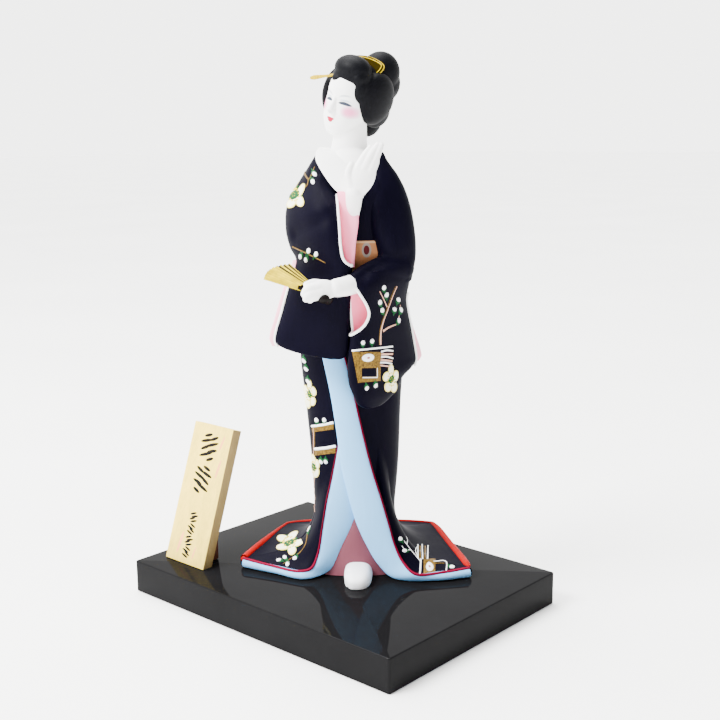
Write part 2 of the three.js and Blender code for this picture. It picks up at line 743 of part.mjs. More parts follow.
function figureBody() {
  const openings = [
    lump(frameAt(0, -45, 167.5, radians(46)), [0, 0, 0], [11, 6, 14.5], 12, 8),
    lump(frameAt(-2.5, -33.5, 207, radians(-60)), [0, 0, 0], [6, 5, 19], 12, 8),
  ];
  const clothes = joined([
    robeBody(50, 5, 10),
    sleeve(rightSleeveRows, 18, 12),
    sleeve(leftSleeveRows, 18, 10),
    sleeve(leftShoulderRows, 14, 8),
    limb([[27, -14, 186, 9], [16, -24, 184, 8.4], [5, -34, 182.5, 6.4], [0, -39, 181.5, 5]], 12, 5),
    sashKnot(),
  ]);
  const hollowed = solids(openings).reduce((body, cut) => body.subtract(cut), clothes);
  const skin = joined([
    limb([[0, 2, 242, 13], [-0.5, 1.5, 252, 9.8], [-1, 0.5, 262, 8.8], [-1, -0.5, 270, 8.6]], 14, 5),
    head(16, 9),
    nose(),
    ...hair(),
    ...leftHand(),
    ...rightHand(),
    lapel(rightLapel.outer, rightLapel.inner, 20, 1.2, 6),
    lapel(leftLapel.outer, leftLapel.inner, 16, 1, 5),
    collar([
      [-6, -19, 228], [-13, -12, 240], [-14, -2, 249], [-7, 9, 252], [5, 11, 251], [13, 2, 250],
      [10, -12, 240], [1, -20, 227],
    ], 2.2, 4.2),
  ]);
  const seats = solids([...fanSeat, combPlate(seatGap), pinBar(seatGap)]);
  const whole = hollowed.add(skin).add(solid(foot())).subtract(solid(ground()));
  const seated = seats.reduce((body, seat) => body.subtract(seat), whole);
  return outerSkin(withoutSlivers(inPlace(geometryOf(seated))));
}

// Plinth: a plain slab, its edges slightly chamfered
function plinthSlab() {
  const half = { x: plinthLength / 2 - plinthChamfer, y: plinthDepth / 2 - plinthChamfer };
  const outline = new THREE.Shape();
  outline.moveTo(-half.x, -half.y);
  outline.lineTo(half.x, -half.y);
  outline.lineTo(half.x, half.y);
  outline.lineTo(-half.x, half.y);
  outline.closePath();
  const slab = new THREE.ExtrudeGeometry(outline, {
    depth: plinthHeight - 2 * plinthChamfer,
    bevelThickness: plinthChamfer,
    bevelSize: plinthChamfer,
    bevelSegments: 1,
  });
  slab.translate(0, 0, plinthChamfer);
  return slab;
}

// Bar along x with a side view in y and z, its corners given in turn
function barAlongX(corners, length) {
  const shape = new THREE.Shape(corners.map(([y, z]) => new THREE.Vector2(y, z)));
  const bar = new THREE.ExtrudeGeometry(shape, { depth: length, bevelEnabled: false });
  bar.rotateX(Math.PI / 2);
  bar.rotateZ(Math.PI / 2);
  return bar;
}

// Tablet: a board that leans back, its lower end cut level to stand flat on the plinth
function tabletBoard() {
  const lean = radians(tabletLean);
  const top = [tabletHeight * Math.sin(lean), tabletHeight * Math.cos(lean)];
  const back = [tabletThickness * Math.cos(lean), -tabletThickness * Math.sin(lean)];
  const corners = [[0, 0], [tabletThickness / Math.cos(lean), 0], [top[0] + back[0], top[1] + back[1]], top];
  return barAlongX(corners, tabletWidth);
}

// Prop: a wedge block on the plinth that fills the corner behind the leaning board
function tabletProp() {
  const lean = radians(tabletLean);
  const near = tabletThickness / Math.cos(lean) + restGap;
  const far = near + propDepth;
  return barAlongX([[near, 0], [far, 0], [far, propDepth / Math.tan(lean)]], propWidth);
}

function named(name, geometry, material) {
  const mesh = new THREE.Mesh(geometry, material);
  mesh.name = name;
  return mesh;
}

const part = new THREE.Group();
part.add(named('plinth', plinthSlab(), black));

part.add(named('figure', figureBody(), clay));
part.add(named('fan_leaf', inPlace(fanLeaf), giltPaper));
part.add(named('fan_sticks', inPlace(fanSticks), darkLacquer));
part.add(named('hair_comb', inPlace(combPlate(0)), gilt));
part.add(named('hairpin', inPlace(pinBar(0)), gilt));

const stand = new THREE.Group();
stand.position.set(
  -plinthLength / 2 + tabletFromEnd,
  -plinthDepth / 2 + tabletFromFront,
  plinthHeight + restGap,
);
const tablet = named('name_tablet', tabletBoard(), paleWood);
const prop = named('tablet_prop', tabletProp(), brownWood);
prop.position.x = tabletWidth - propFromEdge - propWidth;
stand.add(tablet, prop);
part.add(stand);

export default part;
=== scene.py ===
import math

import bpy
import numpy as np
from bpy.props import FloatProperty, FloatVectorProperty, PointerProperty
from mathutils import Matrix, Vector
from mathutils.bvhtree import BVHTree


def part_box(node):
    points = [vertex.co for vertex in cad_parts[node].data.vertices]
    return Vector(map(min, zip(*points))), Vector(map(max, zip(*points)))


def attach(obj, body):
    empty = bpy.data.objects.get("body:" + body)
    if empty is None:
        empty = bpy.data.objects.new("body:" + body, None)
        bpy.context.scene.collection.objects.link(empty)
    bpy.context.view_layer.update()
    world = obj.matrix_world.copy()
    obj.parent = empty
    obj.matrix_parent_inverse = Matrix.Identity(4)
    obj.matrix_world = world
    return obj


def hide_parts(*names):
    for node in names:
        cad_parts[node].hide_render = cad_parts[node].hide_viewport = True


bl_info = {
    "name": "Clay doll in a kimono",
    "version": (1, 0, 0),
    "blender": (4, 5, 0),
    "location": "View3D > Sidebar > Doll",
    "description": "Builds a painted clay doll, her fan, comb and pin, and her plinth with a name tablet",
    "category": "Object",
}

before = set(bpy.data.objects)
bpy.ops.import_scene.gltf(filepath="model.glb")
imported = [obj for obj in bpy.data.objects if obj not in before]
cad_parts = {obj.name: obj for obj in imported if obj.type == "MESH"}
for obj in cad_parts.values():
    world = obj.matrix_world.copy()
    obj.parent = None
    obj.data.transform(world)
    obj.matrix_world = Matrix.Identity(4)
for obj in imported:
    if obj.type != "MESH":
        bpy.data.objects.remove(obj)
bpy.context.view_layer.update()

MM = 0.001
PLINTH_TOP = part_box("plinth")[1].z / MM
FIGURE_TURN = math.radians(42)
FIGURE_SETBACK = 14
REST_GAP = 0.3
FIGURE = Matrix.Translation((0, FIGURE_SETBACK, PLINTH_TOP)) @ Matrix.Rotation(FIGURE_TURN, 4, "Z")


# What a user may change


def colour_of(name, description, default):
    return FloatVectorProperty(
        name=name, description=description, default=default, size=3, min=0, max=1, subtype="COLOR")


def length_of(name, description, default, low, high):
    return FloatProperty(
        name=name, description=description, default=default, min=low, max=high, unit="LENGTH", precision=5)


class DOLL_PG_sizes(bpy.types.PropertyGroup):
    """Thicknesses of what lies on the clay figure"""
    lining_swell: length_of("Lining swell", "How far the lining is padded", 0.0021, 0.0005, 0.003)
    piping: length_of("Piping radius", "Half thickness of the crimson lining edge", 0.00055, 0.0002, 0.001)
    hem: length_of("Hem radius", "Half thickness of the hem at the tips", 0.0023, 0.001, 0.003)
    rim: length_of("Sleeve edge radius", "Half thickness of the white edge", 0.0008, 0.0002, 0.001)
    petal: length_of("Petal height", "How far the petals stand out from the cloth", 0.00042, 0.0001, 0.001)
    bud: length_of("Bud height", "How far the buds stand out from the cloth", 0.0006, 0.0001, 0.0015)
    ink: length_of("Ink height", "Height of the strokes on the name tablet", 0.00012, 0.00002, 0.0004)
    pleat: length_of("Pleat depth", "Half depth of the folds in the fan's leaf", 0.00055, 0.0002, 0.0008)
    comb_edge: length_of("Comb edge radius", "Half thickness of the gilt edge", 0.00045, 0.0001, 0.0006)


class DOLL_PG_colours(bpy.types.PropertyGroup):
    """Ground colours of the paints"""
    robe: colour_of("Robe", "Navy ground of the robe", (0.0017, 0.0013, 0.005))
    lining: colour_of("Lining", "Pale blue of the turned back lining", (0.19, 0.46, 0.78))
    hem: colour_of("Hem", "Orange red of the padded hem", (0.26, 0.001, 0.001))
    piping: colour_of("Piping", "Crimson edge of the lining", (0.08, 0.0015, 0.011))
    pink: colour_of("Sleeve lining", "Pink inside the sleeves", (0.93, 0.14, 0.31))
    underskirt: colour_of("Underskirt", "Dusky pink under the robe", (0.165, 0.05, 0.068))
    sash: colour_of("Sash", "Tan ground of the sash", (0.32, 0.135, 0.055))
    skin: colour_of("Skin", "White of face and hands", (0.93, 0.92, 0.91))
    petal: colour_of("Petals", "Cream of the blossoms", (0.93, 0.91, 0.66))
    leaf: colour_of("Leaves", "Green of hearts, stalks and leaves", (0.007, 0.058, 0.018))
    lacquer: colour_of("Lacquer", "Black of the plinth", (0.0045, 0.0044, 0.0048))
    wood: colour_of("Wood", "Light grain of the name tablet", (0.93, 0.68, 0.1))


class DOLL_PG_studio(bpy.types.PropertyGroup):
    """Light and lens of the stage"""
    key: FloatProperty(
        name="Key light", description="Power of the soft light in front", default=125, min=0, unit="POWER")
    top: FloatProperty(
        name="Top light", description="Strength of the even light from above", default=9.5, min=0)
    lens: FloatProperty(
        name="Lens", description="Focal length of the camera", default=56.92, min=20, max=200, unit="CAMERA")


def sizes():
    return bpy.context.scene.doll_sizes


def tint(name):
    return tuple(getattr(bpy.context.scene.doll_colours, name))


# Number helpers


def smooth_step(t, start, end, start_slope, end_slope):
    """Smooth way from start to end with given slopes at both."""
    weight = (1 + 2 * t) * (1 - t) ** 2
    pull = t * (1 - t) ** 2 * start_slope - t * t * (1 - t) * end_slope
    return start * weight + end * (1 - weight) + pull


def smooth_table(rows):
    """Smooth interpolation of a table whose first column is the key."""
    table = np.array(rows, float)
    last = len(table) - 1

    def slope(row):
        low, high = max(row - 1, 0), min(row + 1, last)
        return (table[high, 1:] - table[low, 1:]) / (table[high, 0] - table[low, 0])

    def at(key):
        if key <= table[0, 0]:
            return table[0, 1:]
        if key >= table[last, 0]:
            return table[last, 1:]
        row = int(np.searchsorted(table[:, 0], key, side="right")) - 1
        span = table[row + 1, 0] - table[row, 0]
        t = (key - table[row, 0]) / span
        return smooth_step(t, table[row, 1:], table[row + 1, 1:], span * slope(row), span * slope(row + 1))

    return at


def levels(rows, steps):
    """Heights from a table's first row to its last, closer together at both ends."""
    bottom, height = rows[0][0], rows[-1][0] - rows[0][0]
    return [bottom + height * (1 - math.cos(math.pi * step / steps)) / 2 for step in range(steps + 1)]


def between(t, low, high, start, end):
    """Straight way from start, at low, to end, at high."""
    return (high - t) / (high - low) * start + (t - low) / (high - low) * end


def curve_through(points, count, per_span=24):
    """Evenly spaced points on a smooth curve through the given ones."""
    given = np.array(points, float)
    given = np.vstack([2 * given[0] - given[1], given, 2 * given[-1] - given[-2]])
    knots = np.concatenate([[0], np.cumsum(np.linalg.norm(np.diff(given, axis=0), axis=1) ** 0.5 + 1e-9)])
    fine = []
    for i in range(1, len(given) - 2):
        p0, p1, p2, p3 = given[i - 1:i + 3]
        t0, t1, t2, t3 = knots[i - 1:i + 3]
        t = np.linspace(t1, t2, per_span, endpoint=False)[:, None]
        a1, a2, a3 = between(t, t0, t1, p0, p1), between(t, t1, t2, p1, p2), between(t, t2, t3, p2, p3)
        fine.append(between(t, t1, t2, between(t, t0, t2, a1, a2), between(t, t1, t3, a2, a3)))
    return resampled(np.vstack(fine + [given[-2:-1]]), count)


def resampled(points, count, closed=False):
    """The same line with evenly spaced points; a closed one ends just before its start."""
    walked = np.concatenate([[0], np.cumsum(np.linalg.norm(np.diff(points, axis=0), axis=1))])
    stops = np.linspace(0, walked[-1], count + 1 if closed else count)
    line = np.stack([np.interp(stops, walked, points[:, axis]) for axis in range(3)], axis=1)
    return line[:-1] if closed else line


def share_of(value, start, over):
    """Share of a span that a value has gone from its start, from 0 to 1."""
    return min(1, max(0, (value - start) / over))


def unit(vector):
    return vector / np.maximum(np.linalg.norm(vector, axis=-1, keepdims=True), 1e-12)


def frame_at(x, y, z, turn=0.0, pitch=0.0, tilt=0.0):
    """Frame at a place, turned about Z, tilted to its own left and then pitched forward."""
    place = Matrix.Translation((x, y, z)) @ Matrix.Rotation(turn, 4, "Z")
    return place @ Matrix.Rotation(-tilt, 4, "X") @ Matrix.Rotation(pitch, 4, "Y")


def moved(form, matrix):
    points, faces = form
    m = np.array(matrix)
    return points @ m[:3, :3].T + m[:3, 3], faces


# Forms are (points in figure millimetres, faces): x to the viewer's right, y away, z above the plinth


def band(low, high, around, turn=0):
    """Faces between two rings whose first points have these numbers."""
    return [(low + k, low + (k + 1) % around, high + (k + 1 + turn) % around, high + (k + turn) % around)
            for k in range(around)]


def loft(rings):
    """Closed body through rings of equal point count, both ends filled."""
    rings = np.array(rings, float)
    count, around = rings.shape[:2]
    points = rings.reshape(-1, 3)
    faces = []
    for ring in range(count - 1):
        faces += band(ring * around, (ring + 1) * around, around)
    hubs = [rings[0].mean(0), rings[-1].mean(0)]
    for end, hub in enumerate((len(points), len(points) + 1)):
        low = end * (count - 1) * around
        for side in range(around):
            a, b = low + side, low + (side + 1) % around
            faces.append((b, a, hub) if end == 0 else (a, b, hub))
    points = np.vstack([points, hubs])
    return facing_out((points, faces))


def triangles_of(faces):
    """Point numbers of the triangles that make up the faces, one row for each corner."""
    return np.array([(f[0], f[i], f[i + 1]) for f in faces for i in range(1, len(f) - 1)]).T


def facing_out(form):
    points, faces = form
    a, b, c = points[triangles_of(faces)]
    if np.einsum("ij,ij->i", a, np.cross(b, c)).sum() < 0:
        faces = [tuple(reversed(f)) for f in faces]
    return points, faces


def oval_ring(z, centre, half_length, half_depth, turn, count, square=2.0):
    angle = np.linspace(0, 2 * np.pi, count, endpoint=False)
    cos, sin = np.cos(angle), np.sin(angle)
    along = half_length * np.sign(cos) * np.abs(cos) ** (2 / square)
    across = half_depth * np.sign(sin) * np.abs(sin) ** (2 / square)
    x = centre[0] + along * math.cos(turn) - across * math.sin(turn)
    y = centre[1] + along * math.sin(turn) + across * math.cos(turn)
    return np.stack([x, y, np.full(count, z)], axis=1)


def limb(rows, around, along):
    """Rings across a smooth path; rows are x, y, z, radius and, if given, a second radius."""
    path = curve_through([row[:3] for row in rows], along + 1)
    radii = smooth_table([(i / (len(rows) - 1), row[3], row[-1]) for i, row in enumerate(rows)])
    sizes = [radii(step / along) for step in range(along + 1)]
    return tube(path, [s[0] for s in sizes], around, [s[1] for s in sizes], side=(1, 0, 0))


def tube(path, radius, around=12, second=None, closed=False, side=(0, 0, 1)):
    """Round rod along a line; radius and the second radius are numbers or one for each point."""
    path = np.array(path, float)
    count = len(path)
    wide = np.broadcast_to(np.array(radius, float), (count,))
    high = wide if second is None else np.broadcast_to(np.array(second, float), (count,))
    ahead = np.roll(path, -1, 0) - np.roll(path, 1, 0) if closed else np.gradient(path, axis=0)
    ahead = unit(ahead)
    across = np.array(side, float)
    if abs(across @ ahead[0]) > 0.9:
        across = np.array((0.0, 1.0, 0.0))
    angle = np.linspace(0, 2 * np.pi, around, endpoint=False)
    rings = []
    for i in range(count):
        across = unit(across - (across @ ahead[i]) * ahead[i])
        rise = np.cross(ahead[i], across)
        ring = path[i] + wide[i] * np.cos(angle)[:, None] * across + high[i] * np.sin(angle)[:, None] * rise
        rings.append(ring)
    if not closed:
        return rounded_ends(rings)
    rings = np.array(rings)
    faces = []
    shift = min(range(around), key=lambda turned: np.linalg.norm(
        np.roll(rings[0], -turned, 0) - rings[-1], axis=1).sum())
    for ring in range(count):
        turn = shift if ring == count - 1 else 0
        faces += band(ring * around, (ring + 1) % count * around, around, turn)
    return facing_out((rings.reshape(-1, 3), faces))


def rounded_ends(rings, reach=0.8):
    """Adds domes to the two ends of a row of rings and closes them."""
    def dome(ring, before):
        middle = ring.mean(0)
        out = unit(middle - before.mean(0)) * np.linalg.norm(ring - middle, axis=1).mean() * reach
        return [middle + (ring - middle) * math.cos(a) + out * math.sin(a) for a in np.radians([30, 55, 75])]

    return loft(dome(rings[0], rings[1])[::-1] + list(rings) + dome(rings[-1], rings[-2]))


def lump(centre, radii, place=None, around=56, rows=36, square=2.0):
    """Ellipsoid, or a boxier one, in a frame."""
    rings = []
    for step in range(1, rows):
        angle = math.pi * step / rows
        out = math.sin(angle) ** (2 / square)
        up = -math.copysign(abs(math.cos(angle)) ** (2 / square), math.cos(angle))
        z = centre[2] + radii[2] * up
        rings.append(oval_ring(z, centre, radii[0] * out, radii[1] * out, 0, around, square))
    points, faces = loft(rings)
    points[-2] = (centre[0], centre[1], centre[2] - radii[2])
    points[-1] = (centre[0], centre[1], centre[2] + radii[2])
    return moved((points, faces), place or Matrix())


def bag(rows, around, along, square=2.6, reach=0.4):
    """Flat hanging form: rows are height, the two ends of the level section and its half thickness."""
    section = smooth_table(rows)
    rings = []
    for z in levels(rows, along):
        x1, y1, x2, y2, half = section(z)
        length = math.hypot(x2 - x1, y2 - y1) / 2 + half * reach
        turn = math.atan2(y2 - y1, x2 - x1)
        rings.append(oval_ring(z, ((x1 + x2) / 2, (y1 + y2) / 2), length, half, turn, around, square))
    return loft(rings)


def joined(forms):
    points, faces, start = [], [], 0
    for form_points, form_faces in forms:
        points.append(form_points)
        faces += [tuple(i + start for i in face) for face in form_faces]
        start += len(form_points)
    return np.vstack(points), faces


def new_mesh(name, points, edges=(), faces=()):
    mesh = bpy.data.meshes.new(name)
    mesh.from_pydata(np.asarray(points).tolist(), edges, faces)
    mesh.update()
    return mesh


def placed(name, data):
    """A new object in the scene."""
    made = bpy.data.objects.new(name, data)
    bpy.context.scene.collection.objects.link(made)
    return made


def scratch_object(form, name="scratch"):
    return placed(name, new_mesh(name, form[0], (), form[1]))


def baked_mesh(made):
    """Mesh of an object with its modifiers; the object is then removed."""
    bpy.context.view_layer.update()
    mesh = bpy.data.meshes.new_from_object(made.evaluated_get(bpy.context.evaluated_depsgraph_get()))
    bpy.data.objects.remove(made)
    return mesh


def form_of(made):
    """Form of an object with its modifiers, and the material number of each face."""
    mesh = baked_mesh(made)
    points = np.empty(len(mesh.vertices) * 3)
    mesh.vertices.foreach_get("co", points)
    faces = [tuple(p.vertices) for p in mesh.polygons]
    slots = [p.material_index for p in mesh.polygons]
    bpy.data.meshes.remove(mesh)
    return (points.reshape(-1, 3), faces), slots


def fused(forms, grain, rounds):
    """One skin round overlapping forms, its creases softened."""
    made = scratch_object(joined(forms))
    remesh = made.modifiers.new("fuse", "REMESH")
    remesh.mode = "VOXEL"
    remesh.voxel_size = grain
    return softened(form_of(made)[0], rounds)


def edges_of(faces):
    pairs = [(f[i], f[(i + 1) % len(f)]) for f in faces for i in range(len(f))]
    pairs = np.sort(np.array(pairs), axis=1)
    return np.unique(pairs, axis=0)


def softened(form, rounds, pull_in=0.55, push_out=0.5):
    """The form with its bumps evened out, each round in turn drawn in and let out again."""
    points, faces = form
    edges = edges_of(faces)
    count = np.bincount(edges.ravel(), minlength=len(points)).astype(float)[:, None]
    points = points.copy()
    for step in range(2 * rounds):
        total = np.zeros_like(points)
        np.add.at(total, edges[:, 0], points[edges[:, 1]])
        np.add.at(total, edges[:, 1], points[edges[:, 0]])
        pull = total / np.maximum(count, 1) - points
        points += (pull_in if step % 2 == 0 else -push_out) * pull
    return points, faces


def normals_of(form):
    points, faces = form
    corners = triangles_of(faces)
    a, b, c = points[corners]
    normal = np.cross(b - a, c - a)
    total = np.zeros_like(points)
    for corner in corners:
        np.add.at(total, corner, normal)
    return unit(total)


def pressed(form, line, width, depth):
    """Presses a soft groove along a line into a form."""
    points, faces = form
    path = curve_through(line, 60)
    span = np.full(len(points), np.inf)
    for a, b in zip(path[:-1], path[1:]):
        ab = b - a
        t = np.clip((points - a) @ ab / (ab @ ab), 0, 1)
        span = np.minimum(span, np.linalg.norm(points - a - t[:, None] * ab, axis=1))
    return points - normals_of(form) * (depth * np.exp(-(span / width) ** 2))[:, None], faces


def carved(form, cutter):
    """The form with the cutter taken out, and for each face whether the cutter made it."""
    body, tool = scratch_object(form), scratch_object(cutter, "cutter")
    for made, name in ((body, "outside"), (tool, "inside")):
        made.data.materials.append(bpy.data.materials.new(name))
    cut = body.modifiers.new("cut", "BOOLEAN")
    cut.operation, cut.solver, cut.object = "DIFFERENCE", "EXACT", tool
    cut.material_mode = "TRANSFER"
    result = form_of(body)
    bpy.data.objects.remove(tool)
    return result


def rims(form, slots, fewest=12):
    """Closed lines where two kinds of face of a form meet."""
    kinds = {}
    for face, slot in zip(form[1], slots):
        for i, a in enumerate(face):
            b = face[(i + 1) % len(face)]
            kinds.setdefault((min(a, b), max(a, b)), []).append(slot > 0)
    beside = {}
    for (a, b), pair in kinds.items():
        if len(pair) == 2 and pair[0] != pair[1]:
            beside.setdefault(a, []).append(b)
            beside.setdefault(b, []).append(a)
    lines, seen = [], set()
    for start in beside:
        line, ahead = [], [start]
        while ahead := [n for n in ahead if n not in seen]:
            line.append(ahead[0])
            seen.add(ahead[0])
            ahead = beside[ahead[0]]
        if len(line) > fewest:
            lines.append(form[0][line])
    return lines


def smooth_loop(line, count, rounds=6):
    loop = resampled(np.vstack([line, line[:1]]), count, closed=True)
    for _ in range(rounds):
        loop = 0.5 * loop + 0.25 * (np.roll(loop, 1, 0) + np.roll(loop, -1, 0))
    return loop


# Pieces


def in_frame(points):
    """Figure millimetres to metres in the shared frame."""
    return moved((np.asarray(points), ()), FIGURE)[0] * MM


def finished(name, mesh, crease):
    """An object at the origin, smooth where its faces meet at less than the crease angle."""
    mesh.shade_smooth()
    mesh.set_sharp_from_angle(angle=math.radians(crease))
    return placed(name, mesh)


def piece(name, form, *finishes, slots=None, crease=40, on_figure=True):
    points, faces = form
    mesh = new_mesh(name, in_frame(points) if on_figure else points * MM, (), faces)
    mesh.validate()
    for finish in finishes:
        mesh.materials.append(finish.material)
    if slots is not None:
        mesh.polygons.foreach_set("material_index", np.array(slots, np.int32))
    return finished(name, mesh, crease)


def settle(made, slot, *nodes):
    """The piece rides on the one body and stands for CAD nodes."""
    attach(made, "root")
    if nodes:
        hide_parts(*nodes)
    return made


def clay(name, form, *finishes, **look):
    """A piece that stands for a part of the clay figure."""
    return settle(piece(name, form, *finishes, **look), "painted_clay", "figure")


# Patterns are laid out on this upright plane as the eye sees them, and cast from the eye onto the cloth
EYE = np.array([2.6, -676.8, 261.9])
LAYOUT_PLANE = -30
EDGE_STEP, EDGE_TRIES = 0.3, 40


class Ground:
    """The painted surface that patterns are laid on, seen from in front."""

    def __init__(self, forms):
        points, faces = joined(forms)
        self.tree = BVHTree.FromPolygons(points.tolist(), faces)

    def land(self, u, z):
        """Spot under a place in the layout; past the outline it moves in until there is ground."""
        for inward in range(EDGE_TRIES):
            aim = np.array([u - math.copysign(EDGE_STEP * inward, u), LAYOUT_PLANE, z]) - EYE
            hit, normal, _, _ = self.tree.ray_cast(Vector(EYE), Vector(aim).normalized())
            if hit is not None:
                normal = np.array(normal)
                return np.array(hit), -normal if normal @ aim > 0 else normal
        raise RuntimeError("no ground at %.1f, %.1f" % (u, z))

    def step(self, u, z, angle, reach, limit=4):
        """Way over the ground from one spot to another one seen a given reach away."""
        along = np.array([math.cos(angle), math.sin(angle)]) * reach * 0.5
        way = self.land(u + along[0], z + along[1])[0] - self.land(u - along[0], z - along[1])[0]
        length = np.linalg.norm(way)
        return way * min(1, limit * reach / max(length, 1e-6))


# The robe

# Round the hem: place, height of its edge, height of the sweep's top and how sharply it sweeps
HEM_ROWS = np.array([
    (0, -17, 2, 34, 4), (13, -20, 2, 52, 3.2), (23, -30, 3.5, 72, 2.7), (34, -38, 4.5, 78, 2.6),
    (50, -35, 5.5, 66, 3), (67, -31.5, 6.5, 50, 3.8), (69, -27.5, 7, 44, 4), (61, 6, 9, 40, 4),
    (53.5, 33.5, 11, 38, 4), (46.5, 40.5, 11, 38, 4), (20, 45, 11, 40, 3.6), (-18, 46, 11, 40, 3.6),
    (-43, 42, 11, 38, 4), (-50, 35, 10.5, 38, 4), (-61, 12, 9, 40, 4), (-70, -8, 7, 42, 4),
    (-69.5, -12, 6.5, 42, 4), (-50, -22, 5.5, 50, 3.4), (-32, -31, 4.5, 62, 2.7),
    (-22, -28, 3.5, 60, 2.7), (-12, -19, 2, 48, 3.3),
], float)
TRAIN_CENTRE = (0, 3)
# Shares of the way round the hem: where the lining in front ends, and where the padded hem ends
FRONT_ENDS = (5.4 / len(HEM_ROWS), 16.2 / len(HEM_ROWS))
ROLL_ENDS = (5.85 / len(HEM_ROWS), 15.75 / len(HEM_ROWS))
FRONT_LAP = 2.2
# The hem's edge in section: how far in, and the share of its height
HEM_SECTION = ((1.2, None), (0.5, 0.2), (0, 0.42), (0.2, 0.7), (0.8, 0.88), (1.6, 0.97), (2.4, 1))
HEM_LEAST = 0.8
# The sweep's soft wave: height, number and shift, the height it starts at and grows over, and its end
TRAIN_WAVE = dict(height=0.7, count=5, shift=1.1, start=3, over=12, faded=1 / 1.1)
# The column: height, centre, half width, half depth and turn in degrees
BODY_ROWS = [
    (28, -1, 3, 24.3, 20.5, 0), (64, -0.2, 3, 26.7, 21.5, 0), (102, -1, 3, 29, 22.5, 0),
    (134, -1.6, 3, 31.4, 23.5, -6), (165, -1, 3, 30, 22.5, -20), (190, 0, 2, 26, 20, -34),
    (201, 0, 2, 26, 20, -36), (213, 0, 1.5, 26.5, 20.5, -38), (230, 0.5, 1.5, 27.5, 17, -40),
    (241, 0, 2, 22.5, 13, -40), (247, -0.5, 2, 16.6, 11, -40), (250.4, -1, 2, 12, 8.8, -40),
]
body_at = smooth_table(BODY_ROWS)


def wall_point(angle, z, proud=0.0):
    """The body's wall in one direction from its own centre line."""
    cx, cy, width, depth, turn = body_at(z)
    local = angle - math.radians(turn)
    reach = width * depth / math.hypot(depth * math.cos(local), width * math.sin(local)) + proud
    return np.array([cx + reach * math.cos(angle), cy + reach * math.sin(angle), z])


def hem_at(share):
    """The hem's row at a share of the way round."""
    count = len(HEM_ROWS)
    scaled = (share % 1) * count
    at, t = int(scaled) % count, scaled - int(scaled)
    before, start, end, after = (HEM_ROWS[(at + step) % count] for step in (-1, 0, 1, 2))
    return smooth_step(t, start, end, 0.5 * (end - before), 0.5 * (after - start))


def bearing(row):
    """Direction and distance of a spot on the hem from the train's centre."""
    x, y = row[0] - TRAIN_CENTRE[0], row[1] - TRAIN_CENTRE[1]
    return math.atan2(y, x), math.hypot(x, y)


def from_hem(row, inset, z):
    angle, reach = bearing(row)
    reach -= inset
    return np.array([TRAIN_CENTRE[0] + reach * math.cos(angle), TRAIN_CENTRE[1] + reach * math.sin(angle), z])


def robe_form(around=300, flare=46, wall=64):
    """Column and train in one skin: the hem's rounded edge, the sweep up from it and the wall."""
    rows = [hem_at(step / around) for step in range(around)]
    angles = [bearing(row)[0] for row in rows]
    rings = []
    for inset, share in HEM_SECTION:
        ring = []
        for step, row in enumerate(rows):
            behind = FRONT_ENDS[0] <= step / around <= FRONT_ENDS[1]
            z = REST_GAP if share is None else max(share * row[2], HEM_LEAST)
            ring.append(from_hem(row, inset if behind else max(inset, FRONT_LAP), z))
        rings.append(ring)
    for step in range(1, flare + 1):
        turn = 0.5 * math.pi * step / flare
        swell = TRAIN_WAVE["height"] * math.sin(math.pi * min(1, step / flare / TRAIN_WAVE["faded"]))
        ring = []
        for row, angle in zip(rows, angles):
            out, up = math.cos(turn) ** row[4], math.sin(turn) ** row[4]
            z = row[2] + (row[3] - row[2]) * up
            wave = math.sin(TRAIN_WAVE["count"] * angle + TRAIN_WAVE["shift"])
            z += swell * wave * share_of(z, TRAIN_WAVE["start"], TRAIN_WAVE["over"])
            crest = from_hem(row, HEM_SECTION[-1][0], z)
            ring.append(wall_point(angle, z) * (1 - out) + crest * out)
        rings.append(ring)
    top = BODY_ROWS[-1][0]
    for step in range(1, wall + 1):
        t = step / wall
        rings.append([wall_point(angle, row[3] + (top - row[3]) * t) for row, angle in zip(rows, angles)])
    return loft(rings)


def pair_of_lines(outer, inner, along, fineness=4000):
    """Two smooth lines sampled in step, so that their given points stay opposite each other."""
    lines = []
    for rows in (outer, inner):
        fine = curve_through(rows, fineness)
        marks = [np.linalg.norm(fine - np.array(row), axis=1).argmin() for row in rows]
        marks[0], marks[-1] = 0, len(fine) - 1
        stops = np.interp(np.linspace(0, len(rows) - 1, along), np.arange(len(rows)), marks)
        lines.append(fine[stops.astype(int)])
    return lines


# A lining in section: shares across its front, how round and how sunk its edges are, and its back as
# shares across and shares of its depth
FACING_SHARES = (0, 0.03, 0.08, 0.16, 0.28, 0.4, 0.5, 0.6, 0.72, 0.84, 0.92, 0.97, 1)
FACING_ROUND, FACING_SINK = 0.55, 0.4
FACING_BACK = ((0.9, 1), (0.5, 1.2), (0.1, 1))


def facing_form(outer, inner, swell, depth, along=170, axis=None):
    """Turned back lining: a band between two lines that fall together, rounded in front.

    Also gives the outer line and the way inward along it, towards an upright axis if one is named.
    """
    a, b = pair_of_lines(outer, inner, along)
    middle = (a + b) / 2
    if axis is None:
        back = np.stack([-middle[:, 0] * 0.25, TRAIN_CENTRE[1] - middle[:, 1], np.zeros(along)], axis=1)
    else:
        back = (np.array([*axis, 0]) - middle) * (1, 1, 0)
    back = unit(back)
    rings = []
    for p, q, inward in zip(a, b, back):
        ring = []
        for share in FACING_SHARES:
            bulge = (swell + FACING_SINK) * (1 - (2 * share - 1) ** 2) ** FACING_ROUND - FACING_SINK
            ring.append(p + (q - p) * share - inward * bulge)
        ring += [p + (q - p) * share + inward * depth * k for share, k in FACING_BACK]
        rings.append(ring)
    return loft(rings), a, back


